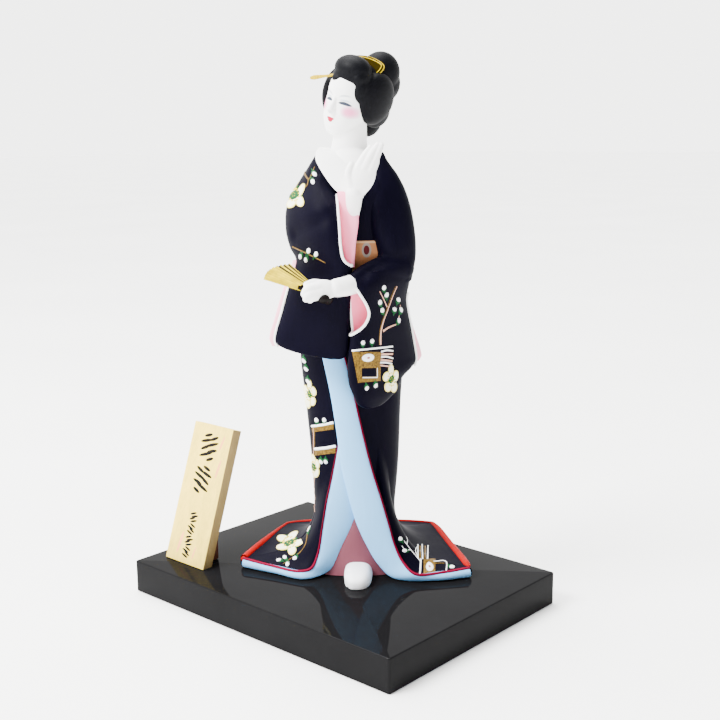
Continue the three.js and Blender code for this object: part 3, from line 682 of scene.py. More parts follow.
# Linings: outer line, then inner line
RIGHT_FACING = (
    [(-6.3, -20.5, 137), (-1.2, -21.5, 115), (4.2, -23, 90), (9.5, -24.5, 68), (15.5, -26.5, 48),
     (19.8, -28.5, 33), (23.2, -31, 21), (28, -34.5, 11.5), (35, -38.5, 5.8), (52, -35.5, 5.5),
     (67.5, -31, 6.4)],
    [(-19.9, -17.5, 137), (-14.6, -20.5, 112), (-11, -22.5, 88), (-8.6, -24, 68), (-4.5, -25.5, 50),
     (0, -26.5, 34), (6, -27, 20), (13, -28.5, 8), (22, -33.5, 1), (48, -36.5, 0.6), (68, -31.5, 0.6)],
)
LEFT_FACING = (
    [(-10.3, -21, 80), (-14, -22, 62), (-17.6, -23.5, 46), (-20.5, -25, 29), (-23.2, -27, 14),
     (-27, -30.5, 6.8), (-34, -30.8, 5), (-51, -22, 5.2), (-69, -12.3, 6.4)],
    [(-7, -22, 80), (-3, -22.3, 62), (0.6, -22.8, 46), (-1.6, -23.2, 31), (-8.4, -23.8, 17),
     (-15, -25, 4), (-30, -33, 0.7), (-50, -23, 0.6), (-69.2, -12.6, 0.6)],
)


# The underskirt: height, middle, half width and how far forward it reaches
UNDERSKIRT_ROWS = [
    (0.4, 0.5, 22, -27.5), (4, 0.5, 19.5, -27.2), (12, 0, 15, -26.4), (20, -0.4, 11, -25.6),
    (28, -0.6, 7, -24.6), (34, -0.6, 4, -23.6), (40, -0.6, 2, -22.2),
]


def underskirt_form(rows=40, depth=6):
    table = smooth_table(UNDERSKIRT_ROWS)
    rings = []
    for z in np.linspace(UNDERSKIRT_ROWS[0][0], UNDERSKIRT_ROWS[-1][0], rows):
        middle, half, front = table(z)
        rings.append(oval_ring(z, (middle, front + depth), half, depth, 0, 48, 2.3))
    return loft(rings)


# Sleeves, as flat hanging forms: height, both ends of the level section and its half thickness

RIGHT_SLEEVE = [
    (135.6, -14, -34.5, -8, -35, 2), (137, -25, -31, -6, -35, 3.4), (139.2, -36, -26.5, -5.4, -34.8, 4.2),
    (142, -42.6, -23, -5, -34.6, 4.9), (145.4, -44, -21.8, -5, -34.6, 5.3),
    (158.6, -39.6, -19.6, -5, -35.5, 6.5), (173, -34.8, -15.5, -5, -36, 7.6),
    (184, -30.6, -11.5, -5.5, -35.8, 8.8), (190.5, -28.4, -9, -6, -35.5, 9.6),
    (197.5, -31, -6.5, -7, -34.5, 11), (208, -32.5, -3, -9, -33, 12.2), (222, -31.5, 2, -13, -28, 11.5),
    (235, -25.5, 5, -18, -14, 8.5), (244, -21.5, 5, -20, -5, 5), (250, -20, 4, -19, 0, 2.5),
]
LEFT_SLEEVE = [
    (105.5, 7, -33, 14.5, -24.5, 2), (108.5, 3.6, -36, 18.5, -20, 3.6), (113.3, 2, -37.6, 22.8, -16, 4.8),
    (120.7, -0.4, -38.8, 26.4, -12, 5.8), (124.6, -1, -39, 31, -9, 6), (128.6, -1.3, -39.6, 34.2, -6, 6),
    (131.4, -1.4, -40, 34.2, -5.4, 6), (148, 0.8, -40, 31, -7, 6.5), (166, 1, -40, 27.2, -9, 7.5),
    (178, 2, -39, 28.5, -11, 8.5), (187, 6, -34, 28, -12, 8),
]
LEFT_SHOULDER = [
    (178, 18, -19, 29.5, -11, 8), (194, 18, -19, 31, -10, 9.8), (212, 13, -18, 30, -8, 10),
    (228, 11, -13.5, 26.5, -6, 9.6), (239, 12, -10, 22, -6, 8), (247, 13.5, -8, 17.5, -6, 5),
    (252, 15, -6.5, 16.5, -6, 2.4),
]
LEFT_FOREARM = [(27, -14, 186, 9.4), (16, -24, 184.5, 8.8), (6, -33, 182, 7.4), (1, -38.5, 179.5, 6)]
RIGHT_INNER_SLEEVE = [
    (139.5, -48.5, -13.5, -30, -16, 0.7), (144.5, -49.6, -13, -30, -16, 1.6),
    (158, -45.6, -13, -28, -16, 1.6), (171, -41.6, -12.5, -26, -15, 1.6), (190, -35, -10, -24, -13, 1.2),
]
LEFT_INNER_SLEEVE = [
    (127, 38.6, 0, 22, -6, 0.7), (131, 40, 0, 22, -6, 1.6), (149, 34.6, -1, 20, -8, 1.6),
    (165, 30.4, -2, 18, -9, 1.6), (182, 27, -4, 16, -10, 1.2),
]
RIGHT_LINING = [
    (187.6, -2.4, -28.6, 0.2, -29, 0.8), (192, -4, -28, 0, -29.2, 1.6), (203, -6, -27, 0.9, -28.6, 2),
    (216, -7, -26, 2.4, -27.6, 2), (224, -7.8, -25.4, 0.4, -27.4, 1.8), (228.4, -8.2, -25, -3, -26.6, 1.4),
    (230.4, -8.2, -24.8, -5.4, -25.8, 0.6),
]


def outermost_line(form, side, low, high):
    """Line down the outermost edge of a form on its left or right, as seen from in front."""
    points = form[0]
    line = []
    for z in np.linspace(low, high, 50):
        row = points[abs(points[:, 2] - z) < 1.5]
        line.append((*row[(row[:, 0] * side).argmax()][:2], z))
    line = np.array(line)
    for _ in range(6):
        line[1:-1, :2] = (line[:-2, :2] + 2 * line[1:-1, :2] + line[2:, :2]) / 4
    return line + (side * 0.1, -0.2, 0)


def mouth_cutter(rim, far, wall_start, wall_end, near=-75):
    """Prism that opens a sleeve's mouth: from the rim line out to one side, as deep as a slanted wall."""
    edge = smooth_table([(z, u) for u, z in rim])
    (u1, w1), (u2, w2) = wall_start, wall_end

    def wall(u):
        return w1 + (u - u1) * (w2 - w1) / (u2 - u1)
    rings = []
    for z in np.linspace(rim[0][1], rim[-1][1], 26):
        u = edge(z)[0]
        rings.append([(u, near, z), (far, near, z), (far, wall(far), z), (u, wall(u), z)])
    return loft(rings)


# Folds at the elbows: line, width and depth
RIGHT_UPPER_FOLD = [(-36, -22, 206), (-27, -34, 211), (-17, -40, 217), (-10, -40, 222)], 4.5, 2
RIGHT_LOWER_FOLD = [(-34, -20, 186), (-24, -32, 184), (-12, -42, 186)], 5, 1.3
LEFT_FOLD = [(4, -42, 184), (14, -32, 189.5), (30, -18, 193)], 3.6, 1.7


def right_sleeve_form():
    return pressed(pressed(bag(RIGHT_SLEEVE, 120, 150), *RIGHT_UPPER_FOLD), *RIGHT_LOWER_FOLD)


def left_sleeve_form():
    parts = [bag(LEFT_SLEEVE, 96, 90), bag(LEFT_SHOULDER, 80, 80), limb(LEFT_FOREARM, 40, 30)]
    return pressed(fused(parts, 0.75, 5), *LEFT_FOLD)


# The head and hands

HEAD = frame_at(-0.8, 0, 280, turn=math.radians(-130), pitch=math.radians(1), tilt=math.radians(16))
# The head in its own frame: height, front, back and half width
HEAD_ROWS = [
    (-19.4, 9.5, 4, 3), (-17.8, 12.7, 0, 6.4), (-13.6, 14.2, -4, 9.8), (-8.6, 14.9, -8, 12.1),
    (-3, 15, -12, 13.1), (3, 14.6, -15.5, 13.2), (9, 14.6, -17, 13), (15, 12.4, -15, 11.4),
    (18, 8.5, -13, 8.2), (20, 3, -8.5, 3.5),
]
NECK = [(-1.8, 1.6, 240, 9), (-2, 1.5, 251, 10.9), (-1.5, 0.5, 260, 9.9), (-1.2, -0.5, 270, 9.6)]
NOSE = [(13.6, 0, 5.5, 0.8), (15.3, 0, 0, 1.3), (16.6, 0, -4.2, 1.75), (14.6, 0, -5.4, 1.5)]
# Hair lobes in the head's frame: place and reach; x forward, y to her left, z up
HAIR_ROLLS = [
    ((4.2, 0.5, 19.4), (9, 12, 8)), ((7.8, 0.6, 15.2), (5.2, 10.4, 4.4)), ((9.2, -3.4, 13), (4.4, 5.2, 3.4)),
    ((4, 8.6, 15.6), (7.4, 4.8, 5.8)), ((3.4, -8.7, 11.4), (7, 4.2, 6.2)), ((2.8, 10.2, 9), (7.6, 4.9, 8.4)),
    ((-6.8, 12, 5.2), (14, 7.4, 15)), ((-3.4, -12.8, 3.2), (13, 7, 15.6)), ((-12, 0, 6), (14, 13, 15.5)),
    ((-12.4, 9.6, -2.2), (9.6, 7, 10)), ((-12.4, -8.6, -2.2), (9.6, 7.4, 10)),
    ((-17.5, 1.5, -9.2), (8.6, 7.5, 10.8)), ((-6.5, 0.5, 12.3), (13.2, 13.4, 10.6)),
    ((-20.6, 0.5, 17.8), (12, 11.5, 12.4)), ((-25.2, 0.5, 11.6), (10.2, 10.4, 11.4)),
]
# Soft modelling of the face: place across and up, reach across and up, height
FACE_MOULD = [
    (5.6, 1.6, 3.2, 1.9, -0.55), (-5.6, 1.6, 3.2, 1.9, -0.55), (5.6, 0.6, 2.8, 0.9, 0.3),
    (-5.6, 0.6, 2.8, 0.9, 0.3), (0, -9.0, 2.2, 0.8, 0.55), (0, -10.3, 1.8, 0.8, 0.5),
    (0, -13.6, 3, 1.6, 0.55), (7, -5, 3.5, 3.5, 0.4), (-7, -5, 3.5, 3.5, 0.4), (0, -11.9, 2, 0.6, -0.25),
]


def head_form():
    """Skull, nose, ear, neck and chest in one skin, with the face modelled softly into it."""
    section = smooth_table(HEAD_ROWS)
    rings = []
    for z in levels(HEAD_ROWS, 60):
        front, back, half = section(z)
        middle = (front + back) / 2
        rings.append(oval_ring(z, (middle, 0), front - middle, half, 0, 72, 2.2))
    ear = lump((-1.5, 12.4, -3), (2.4, 1.6, 4.2), HEAD, 24, 16)
    chest = lump((0, -7, 243), (14.5, 10.6, 11.5))
    parts = [moved(loft(rings), HEAD), moved(limb(NOSE, 20, 24), HEAD), ear, chest, limb(NECK, 48, 30)]
    points, faces = fused(parts, 0.55, 6)
    turn = np.array(HEAD.to_3x3())
    local = (points - np.array(HEAD.translation)) @ turn
    rise = np.zeros(len(points))
    for y, z, across, up, height in FACE_MOULD:
        rise += height * np.exp(-((local[:, 1] - y) / across) ** 2 - ((local[:, 2] - z) / up) ** 2)
    rise *= local[:, 0] > 5
    return softened((points + rise[:, None] * unit(turn[:, 0]), faces), 1)


def finger(*rows):
    return limb(rows, 20, 16)


def left_hand_form():
    wrist = [(10, -28, 180, 5.2), (3, -34.5, 179.4, 5.6), (-4, -41, 178.4, 5.6), (-10, -44.5, 177.8, 5.2)]
    return fused([
        limb(wrist, 32, 24),
        lump((0, 0, 0), (9.2, 4.3, 5.8), frame_at(-17.6, -45.8, 177, math.radians(-172))),
        finger((-19, -48, 179, 2.5), (-25.5, -49.5, 178, 2.4), (-27.6, -48, 174.8, 2)),
        finger((-18, -48.5, 176.4, 2.5), (-25, -50, 175, 2.4), (-26.6, -48, 172, 1.9)),
        finger((-17, -48, 174.4, 2.4), (-22.8, -49.5, 173, 2.2), (-24.4, -47.5, 171.4, 1.8)),
        finger((-17, -45, 180, 2.5), (-22.5, -46, 181, 2.2), (-26.4, -47.5, 180, 1.9)),
    ], 0.45, 4)


def right_hand_form():
    return fused([
        limb([(0.6, -25, 214, 2.2), (0.4, -27.5, 222, 4.2), (0.8, -30, 230, 5)], 32, 20),
        lump((0, 0, 0), (7.6, 3.7, 11.5), frame_at(4.6, -30.5, 238, 0, math.radians(27))),
        finger((9, -31, 241, 2.8), (12.8, -31, 249, 2.4), (16.2, -29.5, 256.2, 1.7)),
        finger((6, -31.4, 243, 2.8), (10, -31.4, 250, 2.4), (14.2, -29.5, 256.4, 1.6)),
        finger((3, -31, 243, 2.7), (6.4, -31, 249.5, 2.2), (10.2, -29.5, 255, 1.6)),
        finger((-0.6, -31, 234, 2.6), (-2.4, -31.5, 240.5, 2.2), (-0.6, -31, 246, 1.7)),
    ], 0.45, 4)


def hair_form():
    return fused([lump(at, size, HEAD) for at, size in HAIR_ROLLS], 0.65, 14)


# The sock: middle, reach, and its slants from a point on its length and from a height up
SOCK = dict(at=(1.2, -30.4, 2.3), reach=(8.2, 18.6, 6.6), length=(0.06, 34), height=(0.14, 2))
SOCK_SPLIT = [(-4.6, -45.4, 0), (-4.8, -44.6, 3), (-5, -42.4, 6), (-5, -37, 7.9)], 0.9, 1.6


def foot_form():
    """The sock, bent inward, with the split beside its great toe."""
    points, faces = fused([lump((0, 0, 0), SOCK["reach"], frame_at(*SOCK["at"]), 64, 44, 2.7)], 0.45, 2)
    (bend, back), (lean, low) = SOCK["length"], SOCK["height"]
    points[:, 0] += bend * (points[:, 1] + back) - lean * np.maximum(points[:, 2] - low, 0)
    return flat_bottom(pressed((points, faces), *SOCK_SPLIT))


def flat_bottom(form):
    points, faces = form
    points = points.copy()
    points[:, 2] = np.maximum(points[:, 2], REST_GAP)
    return points, faces


# Finishes


class Finish:
    """A node material: its shader, and short calls for the nodes that colour and roughen it."""

    def __init__(self, name, colour, roughness, specular, **sockets):
        self.material = bpy.data.materials.new(name)
        self.material.use_nodes = True
        self.tree = self.material.node_tree
        self.shader = self.tree.nodes["Principled BSDF"]
        sockets.update(Base_Color=(*colour, 1), Roughness=roughness, Specular_IOR_Level=specular)
        for socket, value in sockets.items():
            self.shader.inputs[socket.replace("_", " ")].default_value = value
        self.material.diffuse_color = (*colour, 1)
        self.place = self.add("ShaderNodeTexCoord").outputs["Object"]

    def add(self, kind, inputs=None, **settings):
        node = self.tree.nodes.new(kind)
        for key, value in settings.items():
            setattr(node, key, value)
        for key, value in (inputs or {}).items():
            if isinstance(value, bpy.types.NodeSocket):
                self.tree.links.new(value, node.inputs[key])
            else:
                node.inputs[key].default_value = value
        return node

    def math(self, operation, *values, clamp=False):
        values = dict(enumerate(values))
        return self.add("ShaderNodeMath", values, operation=operation, use_clamp=clamp).outputs[0]

    def blend(self, a, b, share):
        """Sum of two values, a with this share and b with the rest."""
        return self.math("MULTIPLY_ADD", a, share, self.math("MULTIPLY", b, 1 - share))

    def stretched(self, scale, place=None):
        inputs = {"Vector": place or self.place, "Scale": scale}
        return self.add("ShaderNodeMapping", inputs).outputs["Vector"]

    def noise(self, scale, detail=3.0, roughness=0.55, vector=None, distortion=0.0):
        return self.add("ShaderNodeTexNoise", {
            "Vector": vector or self.place, "Scale": scale, "Detail": detail,
            "Roughness": roughness, "Distortion": distortion,
        }).outputs["Fac"]

    def ramp(self, value, *stops):
        node = self.add("ShaderNodeValToRGB", {"Fac": value})
        while len(node.color_ramp.elements) < len(stops):
            node.color_ramp.elements.new(0.5)
        for element, (at, colour) in zip(node.color_ramp.elements, stops):
            element.position = at
            element.color = (*colour, 1)
        return node.outputs["Color"]

    def spread(self, value, low, high, to_low=0.0, to_high=1.0):
        return self.add("ShaderNodeMapRange", {
            "Value": value, "From Min": low, "From Max": high, "To Min": to_low, "To Max": to_high,
        }).outputs["Result"]

    def mix(self, share, a, b):
        node = self.add("ShaderNodeMix", {"Factor": share}, data_type="RGBA")
        for socket, value in ((node.inputs[6], a), (node.inputs[7], b)):
            if isinstance(value, bpy.types.NodeSocket):
                self.tree.links.new(value, socket)
            else:
                socket.default_value = (*value, 1)
        return node.outputs[2]

    def axes(self, vector=None):
        return self.add("ShaderNodeSeparateXYZ", {"Vector": vector or self.place}).outputs

    def colour(self, socket):
        self.tree.links.new(socket, self.shader.inputs["Base Color"])

    def present_colour(self):
        return self.shader.inputs["Base Color"].links[0].from_socket

    def rough(self, value, low, high, start=0.3, end=0.7):
        """Roughness that goes from low to high as the value goes from start to end."""
        self.tree.links.new(self.spread(value, start, end, low, high), self.shader.inputs["Roughness"])

    def bump(self, height, strength, distance=0.0004):
        node = self.add("ShaderNodeBump", {"Height": height, "Strength": strength, "Distance": distance})
        self.tree.links.new(node.outputs["Normal"], self.shader.inputs["Normal"])


def shade(colour, factor):
    return tuple(min(1.0, channel * factor) for channel in colour)


def brushed_paint(name, colour, roughness, variation, specular):
    """Matte paint brushed over fired clay: faint clouds, fine grain and brush marks down the form."""
    finish = Finish(name, colour, roughness, specular)
    cloud = finish.noise(38, 4, 0.6)
    grain = finish.noise(1500, 2, 0.5)
    strokes = finish.noise(420, 3, 0.6, finish.stretched((1, 1, 0.12)))
    light, dark = shade(colour, 1 + variation), shade(colour, 1 - variation)
    finish.colour(finish.ramp(finish.blend(strokes, cloud, 0.45), (0.3, dark), (0.7, light)))
    finish.rough(cloud, roughness - 0.07, roughness + 0.07)
    finish.bump(finish.blend(strokes, grain, 0.5), 0.14, 0.00025)
    return finish


# Plain paints: a colour or the name of one that a user may change, roughness, variation and shine
PLAIN_PAINTS = {
    "navy paint": ("robe", 0.55, 0.2, 0.02),
    "pale blue paint": ("lining", 0.6, 0.05, 0.1),
    "white shell paint": ((0.93, 0.93, 0.92), 0.6, 0.015, 0.15),
    "dusky pink paint": ("underskirt", 0.6, 0.07, 0.08),
    "piping paint": ("piping", 0.6, 0.12, 0.01),
    "hem paint": ("hem", 0.55, 0.08, 0.03),
    "sash paint": ("sash", 0.55, 0.1, 0.1),
    "white skin paint": ("skin", 0.5, 0.012, 0.04),
    "white sock paint": ((0.9, 0.9, 0.92), 0.4, 0.02, 0.3),
    "leaf green paint": ("leaf", 0.55, 0.25, 0.03),
    "stamen yellow paint": ((0.75, 0.58, 0.012), 0.5, 0.1, 0.02),
    "rose brown paint": ((0.30, 0.09, 0.07), 0.55, 0.1, 0.1),
    "rose bark paint": ((0.66, 0.36, 0.25), 0.5, 0.12, 0.1),
    "ink": ((0.004, 0.004, 0.004), 0.6, 0.2, 0.05),
    "faint seal red": ((0.86, 0.34, 0.13), 0.6, 0.1, 0.1),
}


def plain_paint(name):
    colour, *settings = PLAIN_PAINTS[name]
    return brushed_paint(name, tint(colour) if isinstance(colour, str) else colour, *settings)


def pink_paint(pale):
    # Painted light: the lining pink is made paler by this share to make up for the shade in and beside the
    # sleeves
    colour = tuple(a + (1 - a) * pale for a in tint("pink"))
    return brushed_paint("pink lining paint", colour, 0.62, 0.04, 0.1)


def piping_paint():
    """Crimson that turns to a brighter red near the ground."""
    crimson = tint("piping")
    finish = plain_paint("piping paint")
    height = finish.axes()[2]
    share = finish.spread(height, (PLINTH_TOP + 5) * MM, (PLINTH_TOP + 30) * MM)
    cloud = finish.noise(60, 3, 0.6)
    red = finish.ramp(share, (0, shade(crimson, 2.2)), (1, crimson))
    finish.colour(finish.mix(finish.spread(cloud, 0.35, 0.75, 0, 0.3), red, shade(crimson, 0.65)))
    return finish


def gold_paint():
    finish = Finish("gold powder", (0.12, 0.06, 0.005), 0.45, 0.15, Metallic=0.25)
    grain = finish.noise(900, 4, 0.7)
    finish.colour(finish.ramp(grain, (0.36, (0.04, 0.018, 0.001)), (0.6, (0.18, 0.1, 0.006))))
    finish.rough(finish.noise(130, 3, 0.6), 0.34, 0.6)
    finish.bump(grain, 0.35, 0.0002)
    return finish


def head_mm(finish):
    """Coordinates in the head's own frame, in millimetres."""
    whole = FIGURE @ HEAD
    return finish.add("ShaderNodeMapping", {
        "Vector": finish.place, "Location": (whole.translation * MM)[:], "Scale": (MM, MM, MM),
        "Rotation": whole.to_euler("XYZ")[:],
    }, vector_type="TEXTURE").outputs["Vector"]


def stroke(finish, y, z, centre, half, slope, bow, soft):
    """Mask of a brush stroke: an oval, slanted and bowed."""
    off = finish.math("SUBTRACT", y, centre[0])
    a = finish.math("DIVIDE", off, half[0])
    square = finish.math("MULTIPLY", a, a)
    lift = finish.math("MULTIPLY_ADD", off, slope, centre[1])
    lift = finish.math("MULTIPLY_ADD", square, bow, lift)
    b = finish.math("DIVIDE", finish.math("SUBTRACT", z, lift), half[1])
    left = finish.math("SUBTRACT", 1, finish.math("ADD", square, finish.math("MULTIPLY", b, b)))
    return finish.math("MULTIPLY", left, soft, clamp=True)


BLUSH, LIPS, LASHES = (0.93, 0.12, 0.4), (0.4, 0.004, 0.04), (0.01, 0.018, 0.036)
BROWS, LIDS, NOSE_PAINTED_SHADOW = (0.34, 0.37, 0.42), (0.2, 0.32, 0.42), (0.3, 0.38, 0.48)
# Face paint in the head's frame: colour, centre across and up, half length and height, slope, bow,
# softness and strength
FACE_PAINT = [
    (BLUSH, (9.4, -3.1), (4.6, 4), 0, 0, 1.1, 0.8),
    (BLUSH, (-9.2, -3.1), (4.6, 4), 0, 0, 1.1, 0.8),
    # Painted shadow under the nose
    (NOSE_PAINTED_SHADOW, (-0.6, -4.9), (2.4, 1.5), 0, 0, 1.1, 0.5),
    (BROWS, (5.6, 5.4), (3.8, 0.8), 0.22, -0.9, 1.2, 0.6),
    (BROWS, (-5.6, 5.4), (3.8, 0.8), -0.22, -0.9, 1.2, 0.6),
    (LIDS, (6.3, 2.7), (3.8, 0.75), 0, -0.5, 1.2, 0.55),
    (LIDS, (-5.4, 2.7), (3.6, 0.75), 0, -0.5, 1.2, 0.55),
    (LASHES, (6.4, 1.1), (3.8, 0.95), -0.05, -0.5, 3.6, 0.97),
    (LASHES, (-4.8, 1.3), (3.6, 0.9), 0.04, -0.5, 3.6, 0.97),
    (LIPS, (-0.5, -9.1), (2.9, 0.95), 0, 0.3, 4, 1),
    (LIPS, (-0.5, -10.2), (2.0, 0.85), 0, 0.3, 4, 1),
]


def skin_paint():
    """White skin with the brush strokes of the face, among them a painted shadow under the nose."""
    finish = plain_paint("white skin paint")
    colour = finish.present_colour()
    x, y, z = finish.axes(head_mm(finish))
    ahead = finish.spread(x, 4, 7)
    for shade_of, centre, half, slope, bow, soft, share in FACE_PAINT:
        mask = stroke(finish, y, z, centre, half, slope, bow, soft)
        mask = finish.math("MULTIPLY", finish.math("MULTIPLY", mask, ahead), share)
        colour = finish.mix(mask, colour, shade_of)
    finish.colour(colour)
    return finish


def hair_paint():
    finish = Finish("black hair paint", (0.002, 0.002, 0.0024), 0.48, 0.045)
    strands = finish.noise(1.6, 4, 0.65, finish.stretched((0.08, 1.5, 0.25), head_mm(finish)), 0.2)
    finish.colour(finish.ramp(strands, (0.3, (0.0012, 0.0012, 0.0018)), (0.75, (0.0034, 0.0035, 0.005))))
    finish.rough(finish.noise(45), 0.42, 0.62)
    finish.bump(strands, 0.12, 0.0003)
    return finish


def lacquer(name, colour, roughness=0.1, coat=0.09):
    """Sprayed lacquer: deep gloss with a slight ripple, faint dust and wear."""
    finish = Finish(name, colour, roughness, 0, Coat_Weight=coat, Coat_Roughness=0.03)
    ripple = finish.noise(16, 2, 0.5)
    dust = finish.noise(900, 2, 0.6)
    smear = finish.noise(24, 4, 0.65)
    finish.colour(finish.ramp(smear, (0.3, shade(colour, 0.85)), (0.75, shade(colour, 1.2))))
    finish.rough(smear, roughness, roughness + 0.1, 0.35, 0.75)
    finish.bump(finish.blend(ripple, dust, 0.85), 0.025, 0.0005)
    return finish


def wood(name, light, dark, fibres, roughness=0.5, side=None):
    """Planed wood: long fibres and slow rings along one axis; faces turned along X may take a darker copy as
    painted shade.
    """
    finish = Finish(name, light, roughness, 0.1)
    grain_place = finish.stretched(fibres)
    fibre = finish.noise(900, 4, 0.65, grain_place, 0.3)
    ring = finish.noise(150, 2, 0.5, grain_place, 0.6)
    tone = finish.blend(ring, fibre, 0.5)
    colour = finish.ramp(tone, (0.3, dark), (0.7, light))
    # Painted shade: faces turned along X get the darker side colour, standing in for a side out of the light
    if side:
        facing = finish.axes(finish.add("ShaderNodeNewGeometry").outputs["Normal"])[0]
        painted_shade_side = finish.ramp(tone, (0.3, shade(side, 0.75)), (0.7, side))
        colour = finish.mix(finish.spread(finish.math("ABSOLUTE", facing), 0.5, 0.9), colour, painted_shade_side)
    finish.colour(colour)
    finish.rough(fibre, roughness - 0.08, roughness + 0.12)
    finish.bump(fibre, 0.14, 0.0002)
    return finish


# Raised paint: flowers, branches, gilt bands and ink


def node_group(name, *inputs):
    """Geometry node group with these inputs beside geometry and material, and its start node."""
    tree = bpy.data.node_groups.new(name, "GeometryNodeTree")
    for socket, kind in (("Geometry", "Geometry"), *inputs, ("Material", "Material")):
        tree.interface.new_socket(socket, in_out="INPUT", socket_type="NodeSocket" + kind)
    tree.interface.new_socket("Geometry", in_out="OUTPUT", socket_type="NodeSocketGeometry")
    return tree, tree.nodes.new("NodeGroupInput")


def wire(tree, *links):
    """Links of a node tree: from a node's output to a node's input."""
    for giver, output, taker, socket in links:
        tree.links.new(giver.outputs[output], taker.inputs[socket])


def stored(tree, name, kind):
    """Node that reads a value stored on the points."""
    node = tree.nodes.new("GeometryNodeInputNamedAttribute")
    node.data_type = kind
    node.inputs["Name"].default_value = name
    return node


def close_group(tree, start, last, output):
    """Ends a group: what its last node gives becomes plain mesh in the given material."""
    real, coat, end = (tree.nodes.new(kind) for kind in (
        "GeometryNodeRealizeInstances", "GeometryNodeSetMaterial", "NodeGroupOutput"))
    wire(tree, (last, output, real, "Geometry"), (real, "Geometry", coat, "Geometry"),
         (start, "Material", coat, "Material"), (coat, "Geometry", end, "Geometry"))
    return tree


STAMP_GROUP, LINE_GROUP = "Stamps on points", "Beads along lines"


def stamp_tree():
    """Geometry nodes: one stamp on every point, turned and sized by the points' own values."""
    tree, start = node_group(STAMP_GROUP, ("Stamp", "Object"))
    stamp, euler, place = (tree.nodes.new(kind) for kind in (
        "GeometryNodeObjectInfo", "FunctionNodeEulerToRotation", "GeometryNodeInstanceOnPoints"))
    turn, size = stored(tree, "turn", "FLOAT_VECTOR"), stored(tree, "size", "FLOAT_VECTOR")
    wire(tree, (start, "Geometry", place, "Points"), (start, "Stamp", stamp, "Object"),
         (stamp, "Geometry", place, "Instance"), (turn, "Attribute", euler, "Euler"),
         (euler, "Rotation", place, "Rotation"), (size, "Attribute", place, "Scale"))
    return close_group(tree, start, place, "Instances")


def line_tree():
    """Geometry nodes: a round bead of paint along every line, as thick as the line's own values say."""
    tree, start = node_group(LINE_GROUP, ("Sides", "Int"))
    curve, ring, sweep = (tree.nodes.new(kind) for kind in (
        "GeometryNodeMeshToCurve", "GeometryNodeCurvePrimitiveCircle", "GeometryNodeCurveToMesh"))
    thick = stored(tree, "thick", "FLOAT")
    ring.inputs["Radius"].default_value = 1
    sweep.inputs["Fill Caps"].default_value = True
    wire(tree, (start, "Geometry", curve, "Mesh"), (curve, "Curve", sweep, "Curve"),
         (start, "Sides", ring, "Resolution"), (ring, "Curve", sweep, "Profile Curve"),
         (thick, "Attribute", sweep, "Scale"))
    return close_group(tree, start, sweep, "Mesh")


def grown(name, carrier, tree, values, crease):
    """Runs a node tree on a carrier mesh and keeps the result as a plain, finished piece."""
    host = placed(name + " carrier", carrier)
    modifier = host.modifiers.new("grow", "NODES")
    modifier.node_group = tree
    for item in tree.interface.items_tree:
        if item.in_out == "INPUT" and item.name in values:
            modifier[item.identifier] = values[item.name]
    host.update_tag()
    mesh = baked_mesh(host)
    if not len(mesh.polygons):
        raise RuntimeError(name + " came out empty")
    for attribute in list(mesh.attributes):
        if attribute.name in ("turn", "size", "thick"):
            mesh.attributes.remove(attribute)
    mesh.name = name
    return finished(name, mesh, crease)


def store(mesh, name, kind, values):
    """Keeps one value, or one vector, for each point of a mesh."""
    kept = mesh.attributes.new(name, kind, "POINT").data
    kept.foreach_set("value" if kind == "FLOAT" else "vector", np.array(values, np.float32).ravel())


def stamp_object(rings=5, around=18):
    """Flat dome of raised paint with a skirt that sinks into the ground; its rim share is stored."""
    rows = [(1.0, -1.0), (1.02, 0.0)] + [(math.cos(a), math.sin(a)) for a in np.linspace(0.35, 1.35, rings)]
    made = scratch_object(loft([oval_ring(z, (0, 0), r, r, 0, around) for r, z in rows]), "stamp")
    store(made.data, "rim", "FLOAT", np.append(np.repeat([min(r, 1) for r, _ in rows], around), [1, 0]))
    return made


def stamps_on(name, places, turns, sizes, finish):
    """Stamps at places in the shared frame, each with its turn and its size."""
    carrier = new_mesh(name, places)
    store(carrier, "turn", "FLOAT_VECTOR", turns)
    store(carrier, "size", "FLOAT_VECTOR", sizes)
    tree = bpy.data.node_groups.get(STAMP_GROUP) or stamp_tree()
    stamp = stamp_object()
    made = grown(name, carrier, tree, {"Stamp": stamp, "Material": finish.material}, 60)
    bpy.data.objects.remove(stamp)
    return made


def stamped(name, ground, spots, finish):
    """Stamps laid on the ground at spots: across, up, turn, half length, half width, height."""
    places, turns, sizes = [], [], []
    for u, z, turn, length, width, height in spots:
        at, normal = ground.land(u, z)
        ahead = ground.step(u, z, math.radians(turn), length)
        aside = ground.step(u, z, math.radians(turn + 90), width)
        x = unit(ahead - (ahead @ normal) * normal)
        y = np.cross(normal, x)
        matrix = Matrix(np.stack([x, y, normal], axis=1).tolist())
        places.append(in_frame([at])[0])
        turns.append((FIGURE.to_3x3() @ matrix).to_euler()[:])
        sizes.append((np.linalg.norm(ahead) * MM, abs(aside @ y) * MM, height * MM))
    return stamps_on(name, places, turns, sizes, finish)


def traced(name, ground, lines, finish, sunk=0.35):
    """Beads of paint on the ground: each line is its start and end thickness and its points."""
    points, edges, thick = [], [], []
    for first, last, *stops in lines:
        path = [(u, 0, z) for u, z in stops]
        path = curve_through(path, 40) if len(path) > 2 else np.linspace(*path, 24)
        base = len(points)
        for (u, _, z), radius in zip(path, np.linspace(first, last, len(path))):
            at, normal = ground.land(u, z)
            points.append(at - normal * radius * sunk)
            thick.append(radius * MM)
        edges += [(i, i + 1) for i in range(base, len(points) - 1)]
    carrier = new_mesh(name, in_frame(points), edges)
    store(carrier, "thick", "FLOAT", thick)
    tree = bpy.data.node_groups.get(LINE_GROUP) or line_tree()
    return grown(name, carrier, tree, {"Sides": 10, "Material": finish.material}, 70)


